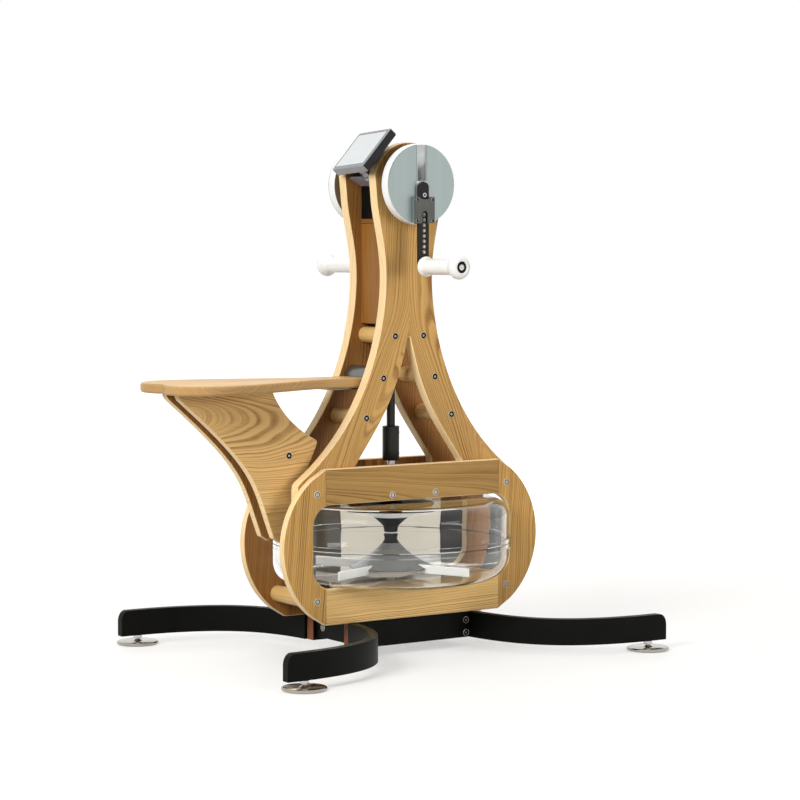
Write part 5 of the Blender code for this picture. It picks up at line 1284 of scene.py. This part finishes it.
def buildSeat():
    finishPiece(markSides(boardShape()), "seatBoard", "seat", ["ashSeat", "ashSeatShadedEdge"], ["seat_board"], weighted=True)
    screwX, screwZ = seat["screw"]
    outer = seat["bracketInner"] + seat["bracketThickness"]
    for name, side in sides:
        finishPiece(markEdges(bracketShape(side), side), "seatBracket_" + name, "seat", ["ashBracket", "ashLitEdge", "ashShadedInner"], ["seat_bracket_" + name], weighted=True)
        screwSet("bracketScrew_" + name, "seat", [faceOut(screwX, side * outer, screwZ, side)])
    half = seat["bracketInner"] - 0.0003
    spacer = alongY(turnedShape([(0.0, half), (0.015, half), (0.015, -half), (0.0, -half)], 0.0004, 48))
    finishPiece(spacer, "bracketSpacer", "seat", "ashDowel", place=Matrix.Translation((screwX, 0.0, screwZ)))
    hingeX, hingeZ = seat["hinge"]
    tube = alongY(turnedShape([(0.0056, 0.0432), (0.024, 0.0432), (0.024, -0.0432), (0.0056, -0.0432)], 0.001, 72, ring=True))
    leaf = flatPlate([(0.0, -0.031), (0.0, 0.031), (-0.104, 0.031), (-0.104, -0.031)], 0.004, 0.0012)
    addCopies(tube, leaf, [Matrix.Translation((0.0, 0.0, 0.5572 - hingeZ))])
    finishPiece(tube, "seatHinge", "seat", "tubeSteel", ["seat_hinge"], place=Matrix.Translation((hingeX, 0.0, hingeZ)))
    bolt = alongY(rodShape(0.005, -0.0690, 0.0690))
    finishPiece(bolt, "hingeBolt", "frame", "brightSteel", ["seat_hinge_bolt"], place=Matrix.Translation((hingeX, 0.0, hingeZ)))
    print("stage: seat built")


buildSeat()

# monitor

monitor = {
    "face": (-0.0885, -0.0210, 1.0547),
    "turn": (-7.0, 41.3, -3.5),
    "width": 0.137,
    "height": 0.105,
    "thickness": 0.019,
    "corner": 0.006,
    "edge": 0.003,
    "bezel": 0.007,
    "gap": 0.0012,
    "bezelDepth": 0.0012,
    "tilt": (0.0355, 0.0, -0.029),
    "barrel": 0.006,
    "barrelLength": 0.026,
    "ear": 0.005,
}


def monitorPlace():
    yaw, lean, roll = [math.radians(value) for value in monitor["turn"]]
    turn = Matrix.Rotation(yaw, 4, "Z") @ Matrix.Rotation(lean, 4, "Y") @ Matrix.Rotation(roll, 4, "X")
    return Matrix.Translation(monitor["face"]) @ turn


def roundedRectangle(width, height, corner, steps=8):
    outline = []
    for start, sx, sy in ((-90, 1, -1), (0, 1, 1), (90, -1, 1), (180, -1, -1)):
        outline += arcLine((sx * (width / 2 - corner), sy * (height / 2 - corner)), corner, start, start + 90, steps)
    return outline


def faceSpace(depth):
    # from a plate in its own xy plane to the monitor's face: x into the case, y across, z up the face
    turn = Matrix(((0, 0, 1, depth), (1, 0, 0, 0), (0, 1, 0, 0), (0, 0, 0, 1)))
    return monitorPlace() @ turn


def buildMonitor():
    size = monitor
    bm = flatPlate(roundedRectangle(size["width"], size["height"], size["corner"]), size["thickness"], size["edge"])
    for face in bm.faces:
        face.normal_update()
        # the front rim takes the grey as the bezel's own colour; the underside takes it as painted light
        if face.calc_center_median().z < size["bezelDepth"] - size["thickness"] / 2 or face.normal.y < -0.7:
            face.material_index = 1
    finishPiece(bm, "monitorCase", "monitor", ["monitorPlastic", "monitorBezelAndLitUnderside"], ["monitor_case"], place=faceSpace(size["thickness"] / 2), weighted=True)
    # a dark seam lies round the glass, and both stand a hair proud of the case
    seam, glass = [
        flatPlate(roundedRectangle(size["width"] - 2 * (size["bezel"] + inset), size["height"] - 2 * (size["bezel"] + inset), 0.003), thickness, 0.0003, steps=2)
        for inset, thickness in ((0.0, 0.0010), (size["gap"], 0.0014))
    ]
    finishPiece(seam, "monitorSeam", "monitor", "monitorPlastic", place=faceSpace(0.0004), weighted=True)
    finishPiece(glass, "monitorScreen", "monitor", "screenGlass", ["monitor_screen"], place=faceSpace(0.0005), weighted=True)
    tiltX, tiltY, tiltZ = size["tilt"]
    ears = bmesh.new()
    earY = size["barrelLength"] / 2 + size["ear"] / 2 + 0.0004
    ear = boxShape((0.026, size["ear"], 2 * size["barrel"]))
    addCopies(ears, ear, [Matrix.Translation((tiltX - 0.0065, side * earY, tiltZ)) for side in (-1, 1)])
    finishPiece(ears, "monitorEars", "monitor", "monitorPlastic", place=monitorPlace(), edge=0.0015)
    pin = alongY(rodShape(0.003, -earY, earY))
    finishPiece(pin, "tiltPin", "monitor", "brightSteel", place=monitorPlace() @ Matrix.Translation((tiltX, 0.0, tiltZ)))
    print("stage: monitor built")


buildMonitor()

# frame nodes that stay as they are, each with its own finish

kept = {
    "crank_axle": "brightSteel",
    "axle_gear": "brightSteel",
    "pinion_gear": "brightSteel",
    "monitor_bracket": "greyBracket",
}
for node, look in kept.items():
    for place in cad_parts[node].material_slots:
        place.material = looks[look]

# floor, light and camera

studio = {
    "cameraPlace": (-2.97485, -4.4981, 0.8844),
    "cameraTurn": (86.23, 0.0, -34.08),
    "lens": 115.32,
    "world": (0.97, 0.985, 1.0, 1.0),
    "worldStrength": 0.22,
    "floorColour": (0.46, 0.448, 0.425, 1.0),
    "floorNear": (0.7, 0.47),
    "floorFar": (3.5, 0.95),
    "lamps": (
        # place, aim, size, power
        ((-3.5, -1.2, 2.3), (0.0, 0.0, 0.6), 1.8, 158.0),
        ((1.8, -3.8, 1.0), (0.0, 0.0, 0.4), 1.6, 72.0),
        ((0.2, 0.2, 3.6), (0.0, 0.0, 0.5), 2.4, 58.0),
        ((1.5, 3.6, 2.2), (0.0, 0.0, 0.5), 2.0, 45.0),
    ),
}
# a glowing card stands behind the tank and is seen only through the clear shell: its pale middle and dark wings are
# painted light and painted shade for what shows through the tank;
# places are right of and above the camera's middle, in metres, at this distance ahead of it
card = {
    "ahead": 6.1,
    "left": -0.26,
    "paleLeft": -0.1428,
    "paleRight": 0.0976,
    "right": 0.30,
    "top": -0.17,
    "lowLine": -0.364,
    "bottom": -0.49,
    "pale": (0.69, 0.63, 0.52, 1.0),
    "dark": (0.075, 0.062, 0.045, 1.0),
    "deep": (0.012, 0.009, 0.006, 1.0),
    "slate": (0.120, 0.122, 0.098, 1.0),
}


def makeFloorMaterial():
    # a plain sweep that keeps the soft shadow and shows white to the camera, to metal and to glass
    made, tree, shader, spot = startMaterial("studioFloor")
    fine = addNode(tree, "ShaderNodeTexNoise", {"Vector": spot, "Scale": 30.0, "Detail": 3.0})
    darker = tuple(channel * 0.96 for channel in studio["floorColour"][:3])
    tree.links.new(blendColour(tree, calc(tree, "MULTIPLY", fine.outputs[0], 0.5), studio["floorColour"], (*darker, 1.0)), shader.inputs["Base Color"])
    shader.inputs["Roughness"].default_value = 0.6
    shader.inputs["Specular IOR Level"].default_value = 0.2
    paths = addNode(tree, "ShaderNodeLightPath").outputs
    seen = calc(tree, "MAXIMUM", calc(tree, "MAXIMUM", paths["Is Camera Ray"], paths["Is Glossy Ray"]), paths["Is Transmission Ray"])
    away = addNode(tree, "ShaderNodeVectorMath", {0: spot}, operation="LENGTH").outputs["Value"]
    (near, nearGlow), (far, farGlow) = studio["floorNear"], studio["floorFar"]
    glow = addNode(tree, "ShaderNodeMapRange", {0: away, 1: near, 2: far, 3: nearGlow, 4: farGlow}, interpolation_type="SMOOTHSTEP")
    shader.inputs["Emission Color"].default_value = (1.0, 1.0, 1.0, 1.0)
    tree.links.new(calc(tree, "MULTIPLY", glow.outputs[0], seen), shader.inputs["Emission Strength"])
    return made


def makeCardMaterial(name):
    made, tree, shader, spot = startMaterial("card_" + name)
    cloud = addNode(tree, "ShaderNodeTexNoise", {"Vector": spot, "Scale": 6.0, "Detail": 2.0})
    faded = tuple(channel * 0.8 for channel in card[name][:3])
    # each panel glows in its colour: painted light and painted shade seen through the tank
    tree.links.new(blendColour(tree, cloud.outputs[0], card[name], (*faded, 1.0)), shader.inputs["Emission Color"])
    shader.inputs["Emission Strength"].default_value = 1.0
    shader.inputs["Base Color"].default_value = (0.0, 0.0, 0.0, 1.0)
    shader.inputs["Specular IOR Level"].default_value = 0.0
    return made


def buildCard(place):
    bm = bmesh.new()
    panels = (
        ("dark", "left", "paleLeft", "top", "bottom"),
        ("pale", "paleLeft", "paleRight", "top", "bottom"),
        ("deep", "paleRight", "right", "top", "lowLine"),
        ("slate", "paleRight", "right", "lowLine", "bottom"),
    )
    for n, (finish, left, right, top, bottom) in enumerate(panels):
        corners = [(card[x], card[y], -card["ahead"]) for x, y in ((left, bottom), (right, bottom), (right, top), (left, top))]
        bm.faces.new([bm.verts.new(corner) for corner in corners]).material_index = n
    bmesh.ops.transform(bm, matrix=place, verts=bm.verts)
    mesh = bpy.data.meshes.new("paintedLightAndShadeCard")
    bm.to_mesh(mesh)
    bm.free()
    for finish, *rest in panels:
        mesh.materials.append(makeCardMaterial(finish))
    obj = bpy.data.objects.new("paintedLightAndShadeCard", mesh)
    bpy.context.scene.collection.objects.link(obj)
    obj.visible_camera = obj.visible_diffuse = obj.visible_glossy = obj.visible_shadow = obj.visible_volume_scatter = False


def buildStudio():
    bm = bmesh.new()
    bmesh.ops.create_grid(bm, x_segments=2, y_segments=2, size=14.0)
    mesh = bpy.data.meshes.new("floor")
    bm.to_mesh(mesh)
    bm.free()
    mesh.materials.append(makeFloorMaterial())
    floor = bpy.data.objects.new("floor", mesh)
    bpy.context.scene.collection.objects.link(floor)

    world = bpy.data.worlds.new("studio")
    world.use_nodes = True
    tree = world.node_tree
    tree.nodes.clear()
    paths = addNode(tree, "ShaderNodeLightPath").outputs
    seen = calc(tree, "MAXIMUM", calc(tree, "MAXIMUM", paths["Is Camera Ray"], paths["Is Glossy Ray"]), paths["Is Transmission Ray"])
    light = addNode(tree, "ShaderNodeBackground", {"Color": studio["world"], "Strength": studio["worldStrength"]})
    white = addNode(tree, "ShaderNodeBackground", {"Color": (1.0, 1.0, 1.0, 1.0), "Strength": 1.0})
    mix = addNode(tree, "ShaderNodeMixShader", {0: seen, 1: light.outputs[0], 2: white.outputs[0]})
    addNode(tree, "ShaderNodeOutputWorld", {"Surface": mix.outputs[0]})
    bpy.context.scene.world = world

    for n, (place, aim, size, power) in enumerate(studio["lamps"]):
        lamp = bpy.data.lights.new("softbox" + str(n + 1), "AREA")
        lamp.shape = "SQUARE"
        lamp.size = size
        lamp.energy = power
        obj = bpy.data.objects.new(lamp.name, lamp)
        obj.location = place
        obj.rotation_euler = (Vector(aim) - Vector(place)).to_track_quat("-Z", "Y").to_euler()
        obj.visible_glossy = False
        bpy.context.scene.collection.objects.link(obj)

    cameraData = bpy.data.cameras.new("camera")
    cameraData.lens = studio["lens"]
    cameraData.sensor_width = 36.0
    camera = bpy.data.objects.new("camera", cameraData)
    camera.location = studio["cameraPlace"]
    camera.rotation_euler = [math.radians(value) for value in studio["cameraTurn"]]
    bpy.context.scene.collection.objects.link(camera)
    bpy.context.scene.camera = camera
    buildCard(Matrix.Translation(camera.location) @ camera.rotation_euler.to_matrix().to_4x4())
    bpy.context.scene.view_settings.view_transform = "Standard"
    print("stage: studio built")


buildStudio()
